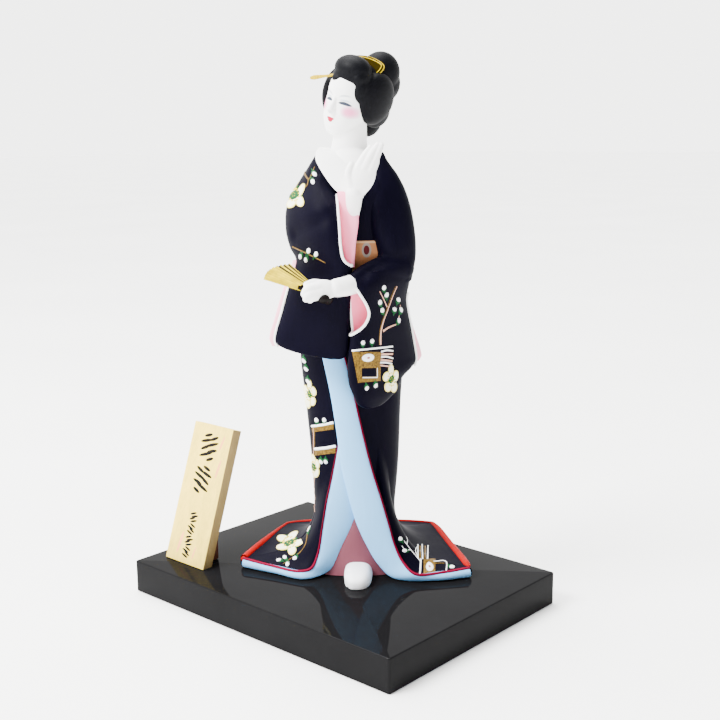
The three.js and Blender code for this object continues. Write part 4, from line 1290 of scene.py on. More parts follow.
def laid_field(ground, corners, lift, depth=0.8, steps=18, soft_edge=0.12):
    """Flat field of paint between four corners, following the ground."""
    a, b, c, d = (np.array(p, float) for p in corners)
    top, low = [], []
    for i in range(steps + 1):
        for j in range(steps + 1):
            s, t = i / steps, j / steps
            u, z = (a * (1 - s) + b * s) * (1 - t) + (d * (1 - s) + c * s) * t
            at, normal = ground.land(u, z)
            edge = soft_edge if i in (0, steps) or j in (0, steps) else 0
            top.append(at + normal * (lift - edge))
            low.append(at - normal * depth)
    side = steps + 1
    points = np.array(top + low)
    faces = []
    for i in range(steps):
        for j in range(steps):
            p = i * side + j
            q = p + side * side
            faces += [(p, p + side, p + side + 1, p + 1), (q, q + 1, q + side + 1, q + side)]
    border = [(i, 0) for i in range(steps)] + [(steps, j) for j in range(steps)]
    border += [(i, steps) for i in range(steps, 0, -1)] + [(0, j) for j in range(steps, 0, -1)]
    index = [i * side + j for i, j in border]
    for p, q in zip(index, index[1:] + index[:1]):
        faces.append((q, p, p + side * side, q + side * side))
    middle = points.mean(0)
    points, faces = facing_out((points - middle, faces))
    return points + middle, faces


# Plum blossoms: across, up, half width, half height, turn
BLOSSOMS = [
    (21.2, 122.2, 4.3, 8.4, 90), (-32.9, 228.8, 6.2, 7.6, 100), (-26.2, 113.9, 3.4, 8.2, 90),
    (-24.4, 69.6, 3.0, 7.4, 95), (-39.8, 22.8, 7.8, 7.2, 70),
]
# Buds: across, up, direction of the stalk
BUDS = [
    (17.3, 175.7, -80), (18.8, 171.6, -90), (15, 167.3, -70), (16.3, 162.7, -70), (25.5, 168.7, -110),
    (23.3, 163.2, -100), (27, 162.9, -110), (25.7, 156.7, -120), (5.1, 143.8, -90), (10.3, 144.7, -90),
    (7.1, 117.2, 100), (12.3, 118.7, 100), (-21.4, 240.4, 120), (-22.5, 236.2, 110), (-25.5, 197.2, -120),
    (-21.3, 195.2, -120), (-30.1, 194.1, 60), (-27, 192.2, 60), (-29.3, 133.7, 90), (-28.1, 128.9, 90),
    (-27.1, 121.6, 90), (-22.5, 98, -90), (-18, 98, -90), (-20.3, 72.9, 90), (-17.4, 72.9, 90),
    (-28, 31.3, -100), (-36.7, 13.1, 60), (-42.7, 13.5, -60), (-46.3, 11.9, -20), (-41.3, 9.3, 90),
    (57.5, 6.7, 150), (26.6, 24.5, -60), (29.2, 17.1, 0),
]
# Lines: thickness at both ends, then points across and up
BRANCH_LINES = [
    (0.62, 0.3, (15.2, 142.7), (15.5, 150.2), (16.9, 156.3), (19, 161.8), (22.9, 172.2), (24.8, 176.6)),
    (0.36, 0.2, (19, 164.7), (17.4, 168.6), (14.9, 173.7)),
    (0.7, 0.4, (16.7, 150.7), (20.4, 153), (24.6, 154.6)), (0.62, 0.55, (15.5, 137.1), (22.2, 137.2)),
    (0.62, 0.55, (15.2, 133.9), (21.8, 133)), (0.5, 0.4, (14.9, 130.6), (20.6, 129.8)),
    (0.32, 0.2, (24.6, 154.6), (26, 159.6), (26.7, 165.8)),
    (0.3, 0.2, (-24.1, 64.8), (-24.8, 54), (-24.4, 41.9)),
    (0.34, 0.34, (-24.3, 93.4), (-24.5, 80), (-24.7, 67.8)),
]
CREAM_LINES = [
    (0.55, 0.6, (-1.3, 139.3), (10, 140.4), (22.2, 141.6)),
    (0.62, 0.45, (15.5, 138.6), (19, 139.4), (22.4, 139)),
    (0.66, 0.45, (15.5, 135.6), (19, 135.6), (22.4, 134.6)),
    (0.6, 0.45, (14.9, 132.2), (18, 132.2), (21.8, 131.4)), (0.4, 0.4, (13.2, 129), (13.2, 123.4)),
    (0.4, 0.4, (4.6, 123.4), (13.2, 123.4)), (0.85, 0.85, (-25.3, 94.4), (-19, 95.2), (-12.6, 96.6)),
    (0.95, 0.95, (-23.8, 80.6), (-18, 81.1), (-11.4, 82.3)), (0.5, 0.35, (37.2, 11.8), (37, 21)),
    (0.5, 0.35, (39.9, 11.8), (39.6, 21)), (0.5, 0.35, (42.8, 11.8), (43.1, 20.4)),
    (0.55, 0.55, (38.9, 11.8), (38.6, 6), (38.2, 1.8)),
    (0.42, 0.36, (46.4, 10.2), (53.9, 10.1), (54, 2.7)),
    (0.34, 0.22, (38.6, 10.4), (32.9, 17.6), (28.7, 23.4)),
    (0.3, 0.2, (37.4, 12.4), (35.6, 17.6), (37.4, 20.6)),
    (0.28, 0.18, (32.9, 17.6), (29.4, 17.8), (27.4, 20.2)), (0.28, 0.18, (30.4, 21), (30.8, 24), (30, 26)),
]
GOLD_LINES = [
    (0.3, 0.2, (14.5, 142.7), (14.8, 150.2), (16.1, 156.3), (18.2, 161.8), (22, 172.2), (24, 176.6)),
    (0.5, 0.35, (-34.5, 199.6), (-25, 195), (-16, 190.3)),
    (0.6, 0.3, (-27.6, 241.6), (-24.8, 237.6), (-21.3, 244.4)),
    (0.45, 0.3, (-24.8, 237.6), (-25.8, 234), (-28, 232.2)),
    (0.45, 0.3, (-28.6, 31.9), (-30.5, 21.2), (-34.8, 15.6), (-39.7, 12.5), (-44, 9.3)),
    (0.45, 0.45, (38.4, 12), (38.4, 20)), (0.45, 0.45, (41.4, 12), (41.4, 20)),
    (0.4, 0.4, (47.4, 9), (53, 9)), (0.35, 0.35, (-23.7, 92), (-23.9, 70)),
]
# Fields: their four corners, across and up
GOLD_FIELDS = [
    [(-1.3, 138.7), (15.4, 138.4), (15.1, 121.3), (2, 120.2)],
    [(-25.2, 94), (-12.6, 95.8), (-12.6, 92.4), (-25.2, 90.8)],
    [(-23.8, 79.6), (-11.6, 81.2), (-11.6, 78), (-23.8, 76.6)],
    [(40.5, 11.9), (47.5, 11.9), (47.5, 1.4), (40.5, 1.4)],
]
NAVY_FIELDS = [[(4.2, 129), (12.6, 129), (12.6, 123.9), (4.2, 123.9)]]
# Small round blossoms on the gilt boxes: across, up, half width, half height
BOX_BLOSSOMS = [(8, 135.1, 3.4, 2.5), (44, 6.8, 2.5, 3.2)]
# Parts of a blossom as shares of its size, and their heights
PETAL = dict(count=5, out=0.62, length=0.44, width=0.37)
HEART = dict(size=0.4, height=0.7)
TIP = dict(length=0.12, width=0.07, height=0.3)
# Rings of stamens: how many, how far out, size and height
STAMEN_RINGS = ((12, 0.46, 0.08, 0.85), (5, 0.14, 0.035, 0.95))
# Height of a blossom on a box, and the size and height of its heart
BOX_BLOSSOM, BOX_HEART = 0.5, (0.34, 0.75)
# A bud's half length and width; its calyx and stalk: how far down, half length, half width and height
BUD, BUD_GREENS = (1.45, 1.15), ((0.85, 1.45, 1.35, 0.4), (2.5, 1.1, 0.36, 0.4))


def plum_blossoms():
    """Petals, green hearts and yellow stamens of every blossom, and the calyx tips between petals."""
    petals, hearts, stamens, tips = [], [], [], []
    for u, z, wide, high, turn in BLOSSOMS:
        size = (wide + high) / 2

        def at(angle, reach):
            a = math.radians(angle)
            return u + wide * reach * math.cos(a), z + high * reach * math.sin(a)

        apart = 360 / PETAL["count"]
        for k in range(PETAL["count"]):
            angle = turn + apart * k
            cos, sin = math.cos(math.radians(angle)), math.sin(math.radians(angle))
            out = math.degrees(math.atan2(high * sin, wide * cos))
            length = PETAL["length"] * math.hypot(wide * cos, high * sin)
            width = PETAL["width"] * math.hypot(wide * sin, high * cos)
            petals.append((*at(angle, PETAL["out"]), out, length, width, sizes().petal / MM))
            place = at(angle + apart / 2, PETAL["out"])
            tips.append((*place, out + apart / 2, TIP["length"] * size, TIP["width"] * size, TIP["height"]))
        hearts.append((u, z, 0, HEART["size"] * wide, HEART["size"] * high, HEART["height"]))
        for count, out, thick, height in STAMEN_RINGS:
            stamens += [(*at(turn + 360 / count * k, out), 0, thick * size, thick * size, height)
                        for k in range(count)]
    return petals, hearts, stamens, tips


def bud_stamps():
    whites, greens = [], []
    for u, z, stalk in BUDS:
        a = math.radians(stalk)
        whites.append((u, z, stalk, *BUD, sizes().bud / MM))
        greens += [(u + off * math.cos(a), z + off * math.sin(a), stalk, *size) for off, *size in BUD_GREENS]
    return whites, greens


def petal_paint():
    finish = Finish("cream petal paint", tint("petal"), 0.55, 0.15)
    rim = finish.add("ShaderNodeAttribute", attribute_name="rim").outputs["Fac"]
    cloud = finish.noise(420, 3, 0.6)
    tone = finish.math("MULTIPLY_ADD", cloud, 0.2, rim)
    finish.colour(finish.ramp(tone, (0.82, tint("petal")), (1.02, (0.82, 0.7, 0.16))))
    finish.rough(cloud, 0.48, 0.65)
    finish.bump(cloud, 0.2, 0.0002)
    return finish


# The painted surfaces, as each step leaves them here for the blossoms
GROUND_FORMS = {}


class DOLL_OT_flowers(bpy.types.Operator):
    """Lays the raised paint: plum blossoms, buds, branches and gilt bands on robe and sleeves"""
    bl_idname = "doll.flowers"
    bl_label = "Painted blossoms"

    def execute(self, context):
        ground = Ground(GROUND_FORMS.values())
        white, gold = plain_paint("white shell paint"), gold_paint()
        petals, hearts, stamens, tips = plum_blossoms()
        whites, greens = bud_stamps()
        whites += [(u, z, 0, wide, high, BOX_BLOSSOM) for u, z, wide, high in BOX_BLOSSOMS]
        share, height = BOX_HEART
        rose = [(u, z, 0, wide * share, high * share, height) for u, z, wide, high in BOX_BLOSSOMS]
        for name, spots, finish in (
            ("petals", petals, petal_paint()), ("buds", whites, white),
            ("leaves", greens + hearts + tips, plain_paint("leaf green paint")),
            ("stamens", stamens, plain_paint("stamen yellow paint")),
            ("box_hearts", rose, plain_paint("rose brown paint")),
        ):
            settle(stamped(name, ground, spots, finish), "painted_clay")
        for name, lines, finish in (
            ("plum_branches", BRANCH_LINES, plain_paint("rose bark paint")),
            ("white_lines", CREAM_LINES, white), ("gold_branches", GOLD_LINES, gold),
        ):
            settle(traced(name, ground, lines, finish), "painted_clay")
        for name, fields, lift, finish in (
            ("gold_fields", GOLD_FIELDS, 0.18, gold),
            ("navy_fields", NAVY_FIELDS, 0.3, plain_paint("navy paint")),
        ):
            form = joined([laid_field(ground, corners, lift) for corners in fields])
            settle(piece(name, form, finish), "painted_clay")
        return {"FINISHED"}


# Ink on the tablet: how far up each group of dabs is, then its dabs across, up, turn and half length
LARGE_MARKS, SMALL_MARKS = (74.2, 53.6), (29, 21.6, 14.2, 7)
LARGE_DABS = [
    (-2.4, 7, 16, 3.6), (3.2, 5.4, 22, 4), (-3.4, 3.4, 14, 5), (2.2, 1.4, 18, 6), (-3, -0.8, 24, 4.4),
    (3.6, -2.4, 14, 4.4), (-1.6, -5, 18, 6), (3, -7.6, 20, 3.4),
]
SMALL_DABS = [(-0.8, 2.4, 18, 2.8), (0.9, 0.9, 14, 3), (-0.9, -0.7, 20, 2.6), (0.7, -2.2, 16, 3)]
INK_MIDDLE = 17.6


def ink_strokes():
    """Rows of slanted brush dabs that stand for the inscription and spell nothing."""
    strokes = []
    for rows, dabs, thick in ((LARGE_MARKS, LARGE_DABS, 1.05), (SMALL_MARKS, SMALL_DABS, 0.72)):
        for row, up in enumerate(rows):
            way = (-1) ** row
            strokes += [(INK_MIDDLE + way * x, up + y, way * turn, half, thick) for x, y, turn, half in dabs]
    return strokes


# Faint strokes beside the ink: across, up, turn and half length
SEALS = [(28.6, 78, 75, 5), (30, 62, 80, 6), (10.4, 12, 80, 7), (24.6, 8, 80, 4)]


# Robe, sleeves, sash, head, hair and fan as pieces


# The padded hem is thick at the tips of the train, thins to this share behind and tapers at its ends
HEM_THIN = dict(by=0.52, start=0.17, over=0.1)
HEM_TAPER = dict(least=0.55, over=0.015)
# How far in from the edge its middle runs and how far below the top, in millimetres and in thicknesses
HEM_SEAT = dict(inset=1.7, more=0.3, sunk=0.35)
# The piping grows by this share near the ground, from one height down over another
PIPING_SWELL = dict(by=0.55, below=22, over=18)


def hem_roll(steps=220):
    """Padded roll along the top of the hem's edge from one tip of the train round the back to the other."""
    start, end = ROLL_ENDS
    path, radius = [], []
    for step in range(steps + 1):
        t = step / steps
        row = hem_at(start + (end - start) * t)
        near = min(t, 1 - t)
        thin = HEM_THIN["by"] * share_of(near, HEM_THIN["start"], HEM_THIN["over"])
        taper = HEM_TAPER["least"] + (1 - HEM_TAPER["least"]) * share_of(near, 0, HEM_TAPER["over"])
        thick = sizes().hem / MM * (1 - thin) * taper
        inset = HEM_SEAT["inset"] + HEM_SEAT["more"] * thick
        path.append(from_hem(row, inset, row[2] - HEM_SEAT["sunk"] * thick))
        radius.append(thick)
    return tube(path, radius, 16)


def facing_piping(edge, back, radius, lift=0.25):
    """Piping along a lining's edge, thicker where it nears the ground."""
    path = edge - back * lift
    low = np.clip((PIPING_SWELL["below"] - path[:, 2]) / PIPING_SWELL["over"], 0, 1)
    return tube(path, radius * (1 + PIPING_SWELL["by"] * low), 12)


class DOLL_OT_robe(bpy.types.Operator):
    """Builds the robe with its spread train, turned back lining, piping, underskirt and foot"""
    bl_idname = "doll.robe"
    bl_label = "Robe and train"

    def execute(self, context):
        GROUND_FORMS["robe"] = robe_form()
        clay("robe", GROUND_FORMS["robe"], plain_paint("navy paint"))
        blue = plain_paint("pale blue paint")
        swell, thick = sizes().lining_swell / MM, sizes().piping / MM
        piping = []
        for name, lines, padding, depth in (
            ("lining_right", RIGHT_FACING, swell, 6), ("lining_left", LEFT_FACING, 0.8 * swell, 5),
        ):
            form, edge, back = facing_form(*lines, padding, depth)
            clay(name, flat_bottom(form), blue, crease=60)
            piping.append(facing_piping(edge, back, thick))
        clay("piping", joined(piping), piping_paint())
        clay("hem_band", hem_roll(), plain_paint("hem paint"))
        clay("underskirt", underskirt_form(), plain_paint("dusky pink paint"))
        clay("sock", foot_form(), plain_paint("white sock paint"))
        return {"FINISHED"}


# The sleeves' mouths: rim across and up, how far to the side they open, and two spots on their back wall
LEFT_MOUTH = [
    (-2.4, 150), (5, 155), (8, 159.5), (8.6, 163), (7.2, 167.5), (4.4, 172.5), (0.5, 178.5), (-3.6, 184.5),
], -24, (-4, -36.5), (10, -27)
RIGHT_MOUTH = [
    (0.6, 188), (-5, 192), (-7, 200), (-7.8, 212), (-8.6, 222), (-9.6, 231),
], 15, (-10, -20), (-1.4, -27)
# The white edge down each sleeve's outside: its side, lower and upper end
LEFT_EDGE, RIGHT_EDGE = (1, 126, 170), (-1, 141, 180)


class DOLL_OT_sleeves(bpy.types.Operator):
    """Builds both sleeves with their open mouths, white edges and pink inner sleeves"""
    bl_idname = "doll.sleeves"
    bl_label = "Sleeves"

    def execute(self, context):
        # pink and pale are two lightened copies of the lining pink, painted light against the shade in and
        # beside the sleeves
        navy, pink, pale = plain_paint("navy paint"), pink_paint(0.32), pink_paint(0.16)
        thick = sizes().rim / MM
        mouths, outer_edges = [], []
        for name, form, mouth, edge in (
            ("sleeve_left", left_sleeve_form(), LEFT_MOUTH, LEFT_EDGE),
            ("sleeve_right", right_sleeve_form(), RIGHT_MOUTH, RIGHT_EDGE),
        ):
            shape, slots = carved(form, mouth_cutter(*mouth))
            clay(name, shape, navy, pale, slots=slots, crease=50)
            GROUND_FORMS[name] = shape
            mouths += [tube(smooth_loop(line, 160), thick, 10, closed=True) for line in rims(shape, slots)]
            outer_edges.insert(0, tube(outermost_line(form, *edge), thick, 12))
        clay("sleeve_rims", joined(mouths + outer_edges), plain_paint("white shell paint"))
        inner = joined([bag(RIGHT_INNER_SLEEVE, 60, 60), bag(LEFT_INNER_SLEEVE, 60, 60)])
        clay("inner_sleeves", inner, pink)
        clay("mouth_lining", bag(RIGHT_LINING, 60, 60), pale)
        return {"FINISHED"}


# The sash in section: height and how far it stands out from the wall
SASH_SECTION = ((183.4, -1), (183.6, 0.9), (184.2, 1.4), (193, 1.5), (201.2, 1.4), (201.8, 0.9), (202, -1))
# The drum-shaped knot behind: turn, how far back, foot, height, half width and depth, the shares of its
# depth at the ends and added by its bulge, and how much its ends are drawn in and over what share
KNOT = dict(turn=math.radians(-40), back=24.5, foot=184, height=38, half=15.5, depth=9.5, flat=0.72,
            bulge=0.28, drawn=0.12, over=0.06)


def sash_form(around=160):
    angles = np.linspace(0, 2 * np.pi, around, endpoint=False)
    return loft([[wall_point(angle, z, proud) for angle in angles] for z, proud in SASH_SECTION])


def knot_form(steps=40):
    turn = KNOT["turn"]
    centre = (-math.sin(turn) * KNOT["back"], math.cos(turn) * KNOT["back"] + 2)
    rings = []
    for step in range(steps + 1):
        t = step / steps
        swell = KNOT["flat"] + KNOT["bulge"] * math.sin(math.pi * t)
        edge = 1 - KNOT["drawn"] * max(0, 1 - min(t, 1 - t) / KNOT["over"]) ** 2
        half, depth = KNOT["half"] * edge, KNOT["depth"] * swell * edge
        rings.append(oval_ring(KNOT["foot"] + KNOT["height"] * t, centre, half, depth, turn, 72, 5))
    return softened(loft(rings), 2)


# White under collar round the neck, its outer edge along the robe's opening
COLLAR_OUTER = [
    (0, -26.2, 226), (-5, -25.2, 228.2), (-9.3, -23.8, 230.4), (-16, -20, 238.5), (-21.6, -13.5, 248.6),
    (-20, -7, 254.4), (-15.5, 4, 253.4), (-12.6, 10, 251), (-7.4, 14.2, 248.4), (-0.5, 14.3, 246.8),
    (5.2, 11.9, 246.8), (9.2, 7.4, 249), (13, 1, 251), (16, -5, 250.6), (16.4, -11, 247),
    (11.4, -18, 236.6), (7, -22, 228),
]
COLLAR_INNER = [
    (6, -24.4, 226.5), (7, -22.5, 231), (4.6, -20.2, 237.5), (-2, -16.8, 245.6), (-9, -13.4, 250),
    (-12.4, -8, 252), (-12.8, 1, 252.6), (-11.7, 7.1, 252.4), (-7.6, 11.2, 252.3), (-2, 12.7, 252.2),
    (3.6, 11.2, 252.1), (7.7, 7.1, 252), (9.4, 1.5, 252), (9.6, -5, 252.6), (8.6, -10, 253),
    (-1, -17.6, 245.4), (-5, -21.6, 239),
]
COLLAR = dict(swell=1.1, depth=4)


class DOLL_OT_sash(bpy.types.Operator):
    """Builds the sash with its knot and the white under collar"""
    bl_idname = "doll.sash"
    bl_label = "Sash and collar"

    def execute(self, context):
        sash = sash_paint()
        clay("sash", sash_form(), sash)
        clay("sash_knot", knot_form(), sash)
        collar = facing_form(COLLAR_OUTER, COLLAR_INNER, **COLLAR, axis=NECK[1][:2])[0]
        clay("collar", collar, plain_paint("white shell paint"))
        return {"FINISHED"}


# The sash's row of ovals: where one stands, how far apart, height, half width and half height; the
# radius is that of the sash's front, and its pale borders start this far from the middle
SASH_OVALS = dict(angle=math.radians(72.2), apart=12, height=196.6, half=1.5, tall=2.6)
SASH_RADIUS, SASH_MIDDLE, SASH_BORDER = 23, 193, 7.6
# An oval's pale ring and its dark red middle: between which radii the paint sets in, and its colour
OVAL_PAINTS = (((1.75, 1.6), (0.21, 0.18, 0.155)), ((1.08, 0.95), (0.065, 0.004, 0.006)))
MANY_TURNS = 500


def sash_paint():
    """Woven look in paint: tan ground with a row of dark red ovals in pale rings, and pale borders."""
    finish = plain_paint("sash paint")
    colour = finish.present_colour()
    x, y, z = finish.axes(finish.add("ShaderNodeMapping", {
        "Vector": finish.place, "Location": (FIGURE.inverted().translation * MM)[:],
        "Rotation": (0, 0, -FIGURE_TURN),
    }, vector_type="POINT").outputs["Vector"])
    angle = finish.math("ARCTAN2", finish.math("ADD", y, -2 * MM), x)
    start, apart = SASH_RADIUS * SASH_OVALS["angle"] + MANY_TURNS, SASH_OVALS["apart"]
    around = finish.math("MULTIPLY_ADD", angle, SASH_RADIUS, start)
    cell = finish.math("MODULO", finish.math("ADD", around, apart / 2), apart)
    cell = finish.math("SUBTRACT", cell, MANY_TURNS % apart + apart / 2)
    cell = finish.math("WRAP", cell, apart / 2, -apart / 2)
    a = finish.math("DIVIDE", cell, SASH_OVALS["half"])
    rise = finish.math("MULTIPLY_ADD", z, 1 / MM, -SASH_OVALS["height"])
    b = finish.math("DIVIDE", rise, SASH_OVALS["tall"])
    square = finish.math("ADD", finish.math("MULTIPLY", a, a), finish.math("MULTIPLY", b, b))
    radius = finish.math("SQRT", square)
    off = finish.math("ABSOLUTE", finish.math("MULTIPLY_ADD", z, 1 / MM, -SASH_MIDDLE))
    border = finish.math("GREATER_THAN", off, SASH_BORDER)
    for fade, paint in OVAL_PAINTS:
        colour = finish.mix(finish.spread(radius, *fade), colour, paint)
    finish.colour(finish.mix(finish.math("MULTIPLY", border, 0.6), colour, (0.55, 0.36, 0.2)))
    return finish


class DOLL_OT_head(bpy.types.Operator):
    """Builds the head, its painted face, the neck and both hands"""
    bl_idname = "doll.head"
    bl_label = "Head and hands"

    def execute(self, context):
        skin = skin_paint()
        for name, form in (
            ("head", head_form()), ("hand_left", left_hand_form()), ("hand_right", right_hand_form()),
        ):
            clay(name, form, skin)
        return {"FINISHED"}


COMB = dict(half=12.4, shoulder=7.6, rise=11, thickness=1.4, foot=1.68, teeth=23)
# The comb's foot and side: how far in from its half width, and height
COMB_SIDE = ((2.8, COMB["foot"]), (0.6, COMB["shoulder"] * 0.8), (0.7, COMB["shoulder"] + 0.6))
COMB_ARCH_LOW = COMB["shoulder"] + 0.9
COMB_PLACE = HEAD @ frame_at(-5, 0.4, 16.4, pitch=math.radians(-22))


def comb_arch(inset=0.0):
    """The comb's upper outline from one foot to the other, in its own plane."""
    half, rise = COMB["half"] - inset, COMB["rise"] - inset - COMB_ARCH_LOW
    line = [(0, inward - half, z) for inward, z in COMB_SIDE]
    line += [(0, -half * t, COMB_ARCH_LOW + rise * (1 - t * t)) for t in (0.8, 0.6, 0.4, 0.2, 0)]
    return curve_through(line + [(x, -y, z) for x, y, z in line[-2::-1]], 90)


def comb_plate():
    foot = [(0, COMB["half"] * t, COMB["foot"]) for t in (0.6, 0.2, -0.2, -0.6)]
    outline = np.vstack([comb_arch(), foot])
    rings = []
    for side, scale in ((-1, 0.985), (-0.7, 1), (0.7, 1), (1, 0.985)):
        rings.append(outline * (1, scale, scale) + (side * COMB["thickness"] / 2, 0, 0))
    return loft(rings)


def comb_rim():
    """Gilt edge round the comb's spine and a finer line inside it."""
    edge = sizes().comb_edge / MM
    outer = moved(tube(comb_arch(0.1), edge, 12), Matrix.Translation((-0.4, 0, 0)))
    inner = moved(tube(comb_arch(1.1), 0.62 * edge, 10), Matrix.Translation((0.68, 0, 0)))
    return joined([outer, inner])


def comb_teeth(reach=11.4):
    return [limb([(0, y, 2.4, 0.3, 0.5), (0, y, 0, 0.3, 0.5), (0, y, -2.6, 0.16, 0.3)], 8, 6)
            for y in np.linspace(-reach, reach, COMB["teeth"])]


# The pin: place along it, and how broad it is there
PIN_ROWS = [(-23, 0.4), (-13.5, 0.55), (2, 0.6), (9, 1), (11, 0.7)]
PIN_PLACE = HEAD @ frame_at(11, -11, 12.9, turn=math.radians(20), tilt=math.radians(-20))


def pin_form(breadth=1.3, thickness=0.7):
    wide = smooth_table(PIN_ROWS)
    rings = []
    for y in np.linspace(PIN_ROWS[0][0], PIN_ROWS[-1][0], 60):
        ring = oval_ring(0, (0, 0), breadth * wide(y)[0], thickness, 0, 20, 2.6)
        rings.append(ring[:, [1, 2, 0]] + (0, y, 0))
    return moved(rounded_ends(rings), PIN_PLACE @ Matrix.Rotation(math.pi, 4, "Z"))


def bright_gold():
    finish = Finish("bright gold", (0.3, 0.2, 0.001), 0.3, 0.03)
    cloud = finish.noise(260, 3, 0.6)
    finish.colour(finish.ramp(cloud, (0.3, (0.32, 0.21, 0.002)), (0.7, (0.58, 0.41, 0.007))))
    finish.rough(cloud, 0.22, 0.4)
    finish.bump(cloud, 0.1, 0.0002)
    return finish


def comb_shell():
    """Dark amber shell that grows paler and more golden towards her right."""
    finish = Finish("amber comb shell", (0.02, 0.012, 0.001), 0.4, 0)
    side = finish.axes(head_mm(finish))[1]
    cloud = finish.noise(220, 3, 0.6)
    tone = finish.spread(finish.math("MULTIPLY_ADD", cloud, 5, side), -9, 9)
    paler_side, amber, dark = (0.09, 0.07, 0.01), (0.02, 0.012, 0.001), (0.017, 0.012, 0.0015)
    finish.colour(finish.ramp(tone, (0, paler_side), (0.5, amber), (1, dark)))
    finish.rough(cloud, 0.25, 0.4)
    finish.bump(cloud, 0.08, 0.0002)
    return finish


class DOLL_OT_hair(bpy.types.Operator):
    """Builds the dressed hair with its comb and its pin"""
    bl_idname = "doll.hair"
    bl_label = "Hair, comb and pin"

    def execute(self, context):
        clay("hair", hair_form(), hair_paint())
        gold = bright_gold()
        for name, form, finish, crease, node in (
            ("comb", moved(joined([comb_plate(), *comb_teeth()]), COMB_PLACE), comb_shell(), 30, "hair_comb"),
            ("comb_rim", moved(comb_rim(), COMB_PLACE), gold, 40, "hair_comb"),
            ("pin", pin_form(), gold, 40, "hairpin"),
        ):
            settle(piece(name, form, finish, crease=crease), "gilt", node)
        return {"FINISHED"}


# The fan: its pivot, the directions of its two outer sticks and the way across its leaf
FAN_PIVOT = np.array([-14, -44, 171.5])
FAN_LOW, FAN_HIGH = unit(np.array([-35.8, -5, 12.0])), unit(np.array([-22.6, 24, 16.3]))
FAN_ACROSS = unit(np.cross(FAN_LOW, FAN_HIGH))


def fan_point(share, radius, lift):
    return FAN_PIVOT + unit(FAN_LOW + (FAN_HIGH - FAN_LOW) * share) * radius + FAN_ACROSS * lift


LEAF = dict(pleats=9, start=16.5, end=38, half=0.28, fold_steps=4, shallow=0.4)
# Dark stripes on the last folds: between which shares they set in, how close and how narrow they are
LEAF_STRIPES = dict(start=(0.62, 0.64), rate=105, cut=-0.1)
LEAF_STEPS = 2 * LEAF["pleats"] * LEAF["fold_steps"]
# Section of a pleat: share of the way out, and the side of the paper
LEAF_SECTION = ((0, -1), (0.33, -1), (0.67, -1), (1, -1), (1, 1), (0.67, 1), (0.33, 1), (0, 1))


def pleated_leaf():
    rings = []
    for step in range(LEAF_STEPS + 1):
        zigzag = sizes().pleat / MM * (1 - 2 * abs((step / LEAF["fold_steps"] % 2) - 1))
        ring = []
        for t, side in LEAF_SECTION:
            radius = LEAF["start"] + (LEAF["end"] - LEAF["start"]) * t
            lift = zigzag * (LEAF["shallow"] + (1 - LEAF["shallow"]) * t) + side * LEAF["half"]
            ring.append(fan_point(step / LEAF_STEPS, radius, lift))
        rings.append(ring)
    return loft(rings)


def leaf_paint():
    """Gilt paper, each fold darkened from one crease to the next as painted shade; the last folds carry dark
    and gold stripes along the ribs.
    """
    paper = Finish("gilt paper", (0.66, 0.5, 0.002), 0.45, 0.03)
    share = paper.add("ShaderNodeAttribute", attribute_name="share").outputs["Fac"]
    cloud = paper.noise(160, 4, 0.6)
    gilt = paper.ramp(cloud, (0.35, (0.46, 0.34, 0.001)), (0.65, (0.76, 0.58, 0.003)))
    one_fold = 1 / (2 * LEAF["pleats"])
    # Painted shade on the pleats: the colour darkens across each fold
    fold = paper.spread(paper.math("PINGPONG", share, one_fold), 0, one_fold)
    painted_fold_shade = paper.mix(paper.spread(fold, 0, 1, 0, 0.35), gilt, (0.2, 0.13, 0.004))
    wave = paper.math("SINE", paper.math("MULTIPLY", share, LEAF_STRIPES["rate"]))
    stripe = paper.math("GREATER_THAN", wave, LEAF_STRIPES["cut"])
    band = paper.math("MULTIPLY", paper.spread(share, *LEAF_STRIPES["start"]), stripe, clamp=True)
    paper.colour(paper.mix(band, painted_fold_shade, (0.012, 0.01, 0.008)))
    paper.rough(cloud, 0.38, 0.55)
    paper.bump(paper.noise(1200, 3, 0.6), 0.15, 0.0002)
    return paper


RIB_SECTION = ((-1, -0.6), (-0.8, -1), (0.8, -1), (1, -0.6), (1, 0.6), (0.8, 1), (-0.8, 1), (-1, 0.6))


def fan_rib(share, start, end, wide, half, lift):
    """One stick from its start to its end distance from the pivot."""
    rings = []
    for radius in np.linspace(start, end, 12):
        across = unit(fan_point(share + 0.01, radius, 0) - fan_point(share - 0.01, radius, 0))
        spot = fan_point(share, radius, lift)
        width = wide * (0.75 + 0.25 * radius / end)
        rings.append([spot + across * width * a + FAN_ACROSS * half * b for a, b in RIB_SECTION])
    return loft(rings)


# Inner sticks: how many, the share and lift that they spread over, and start, end, width and thickness
INNER_RIBS = dict(count=10, share=(0.06, 0.94), lift=(-0.8, 0.8), size=(1, 17.5, 0.6, 0.45))
RIVET = dict(half=1.3, radius=2.5)
# Outer sticks: share, start, end, width, thickness and lift
OUTER_RIBS = [(0.03, 1, 18.5, 1.5, 0.7, -1.3), (0.97, 1, 37.5, 1.1, 0.6, 1.2)]
# The sticks' gathered ends, as they show beside the hand: place and reach
RIB_ENDS = [((-19.6, -48.2, 172.8), (3, 2, 2.3)), ((-16.5, -49.6, 172.4), (3.3, 2.2, 2.6))]


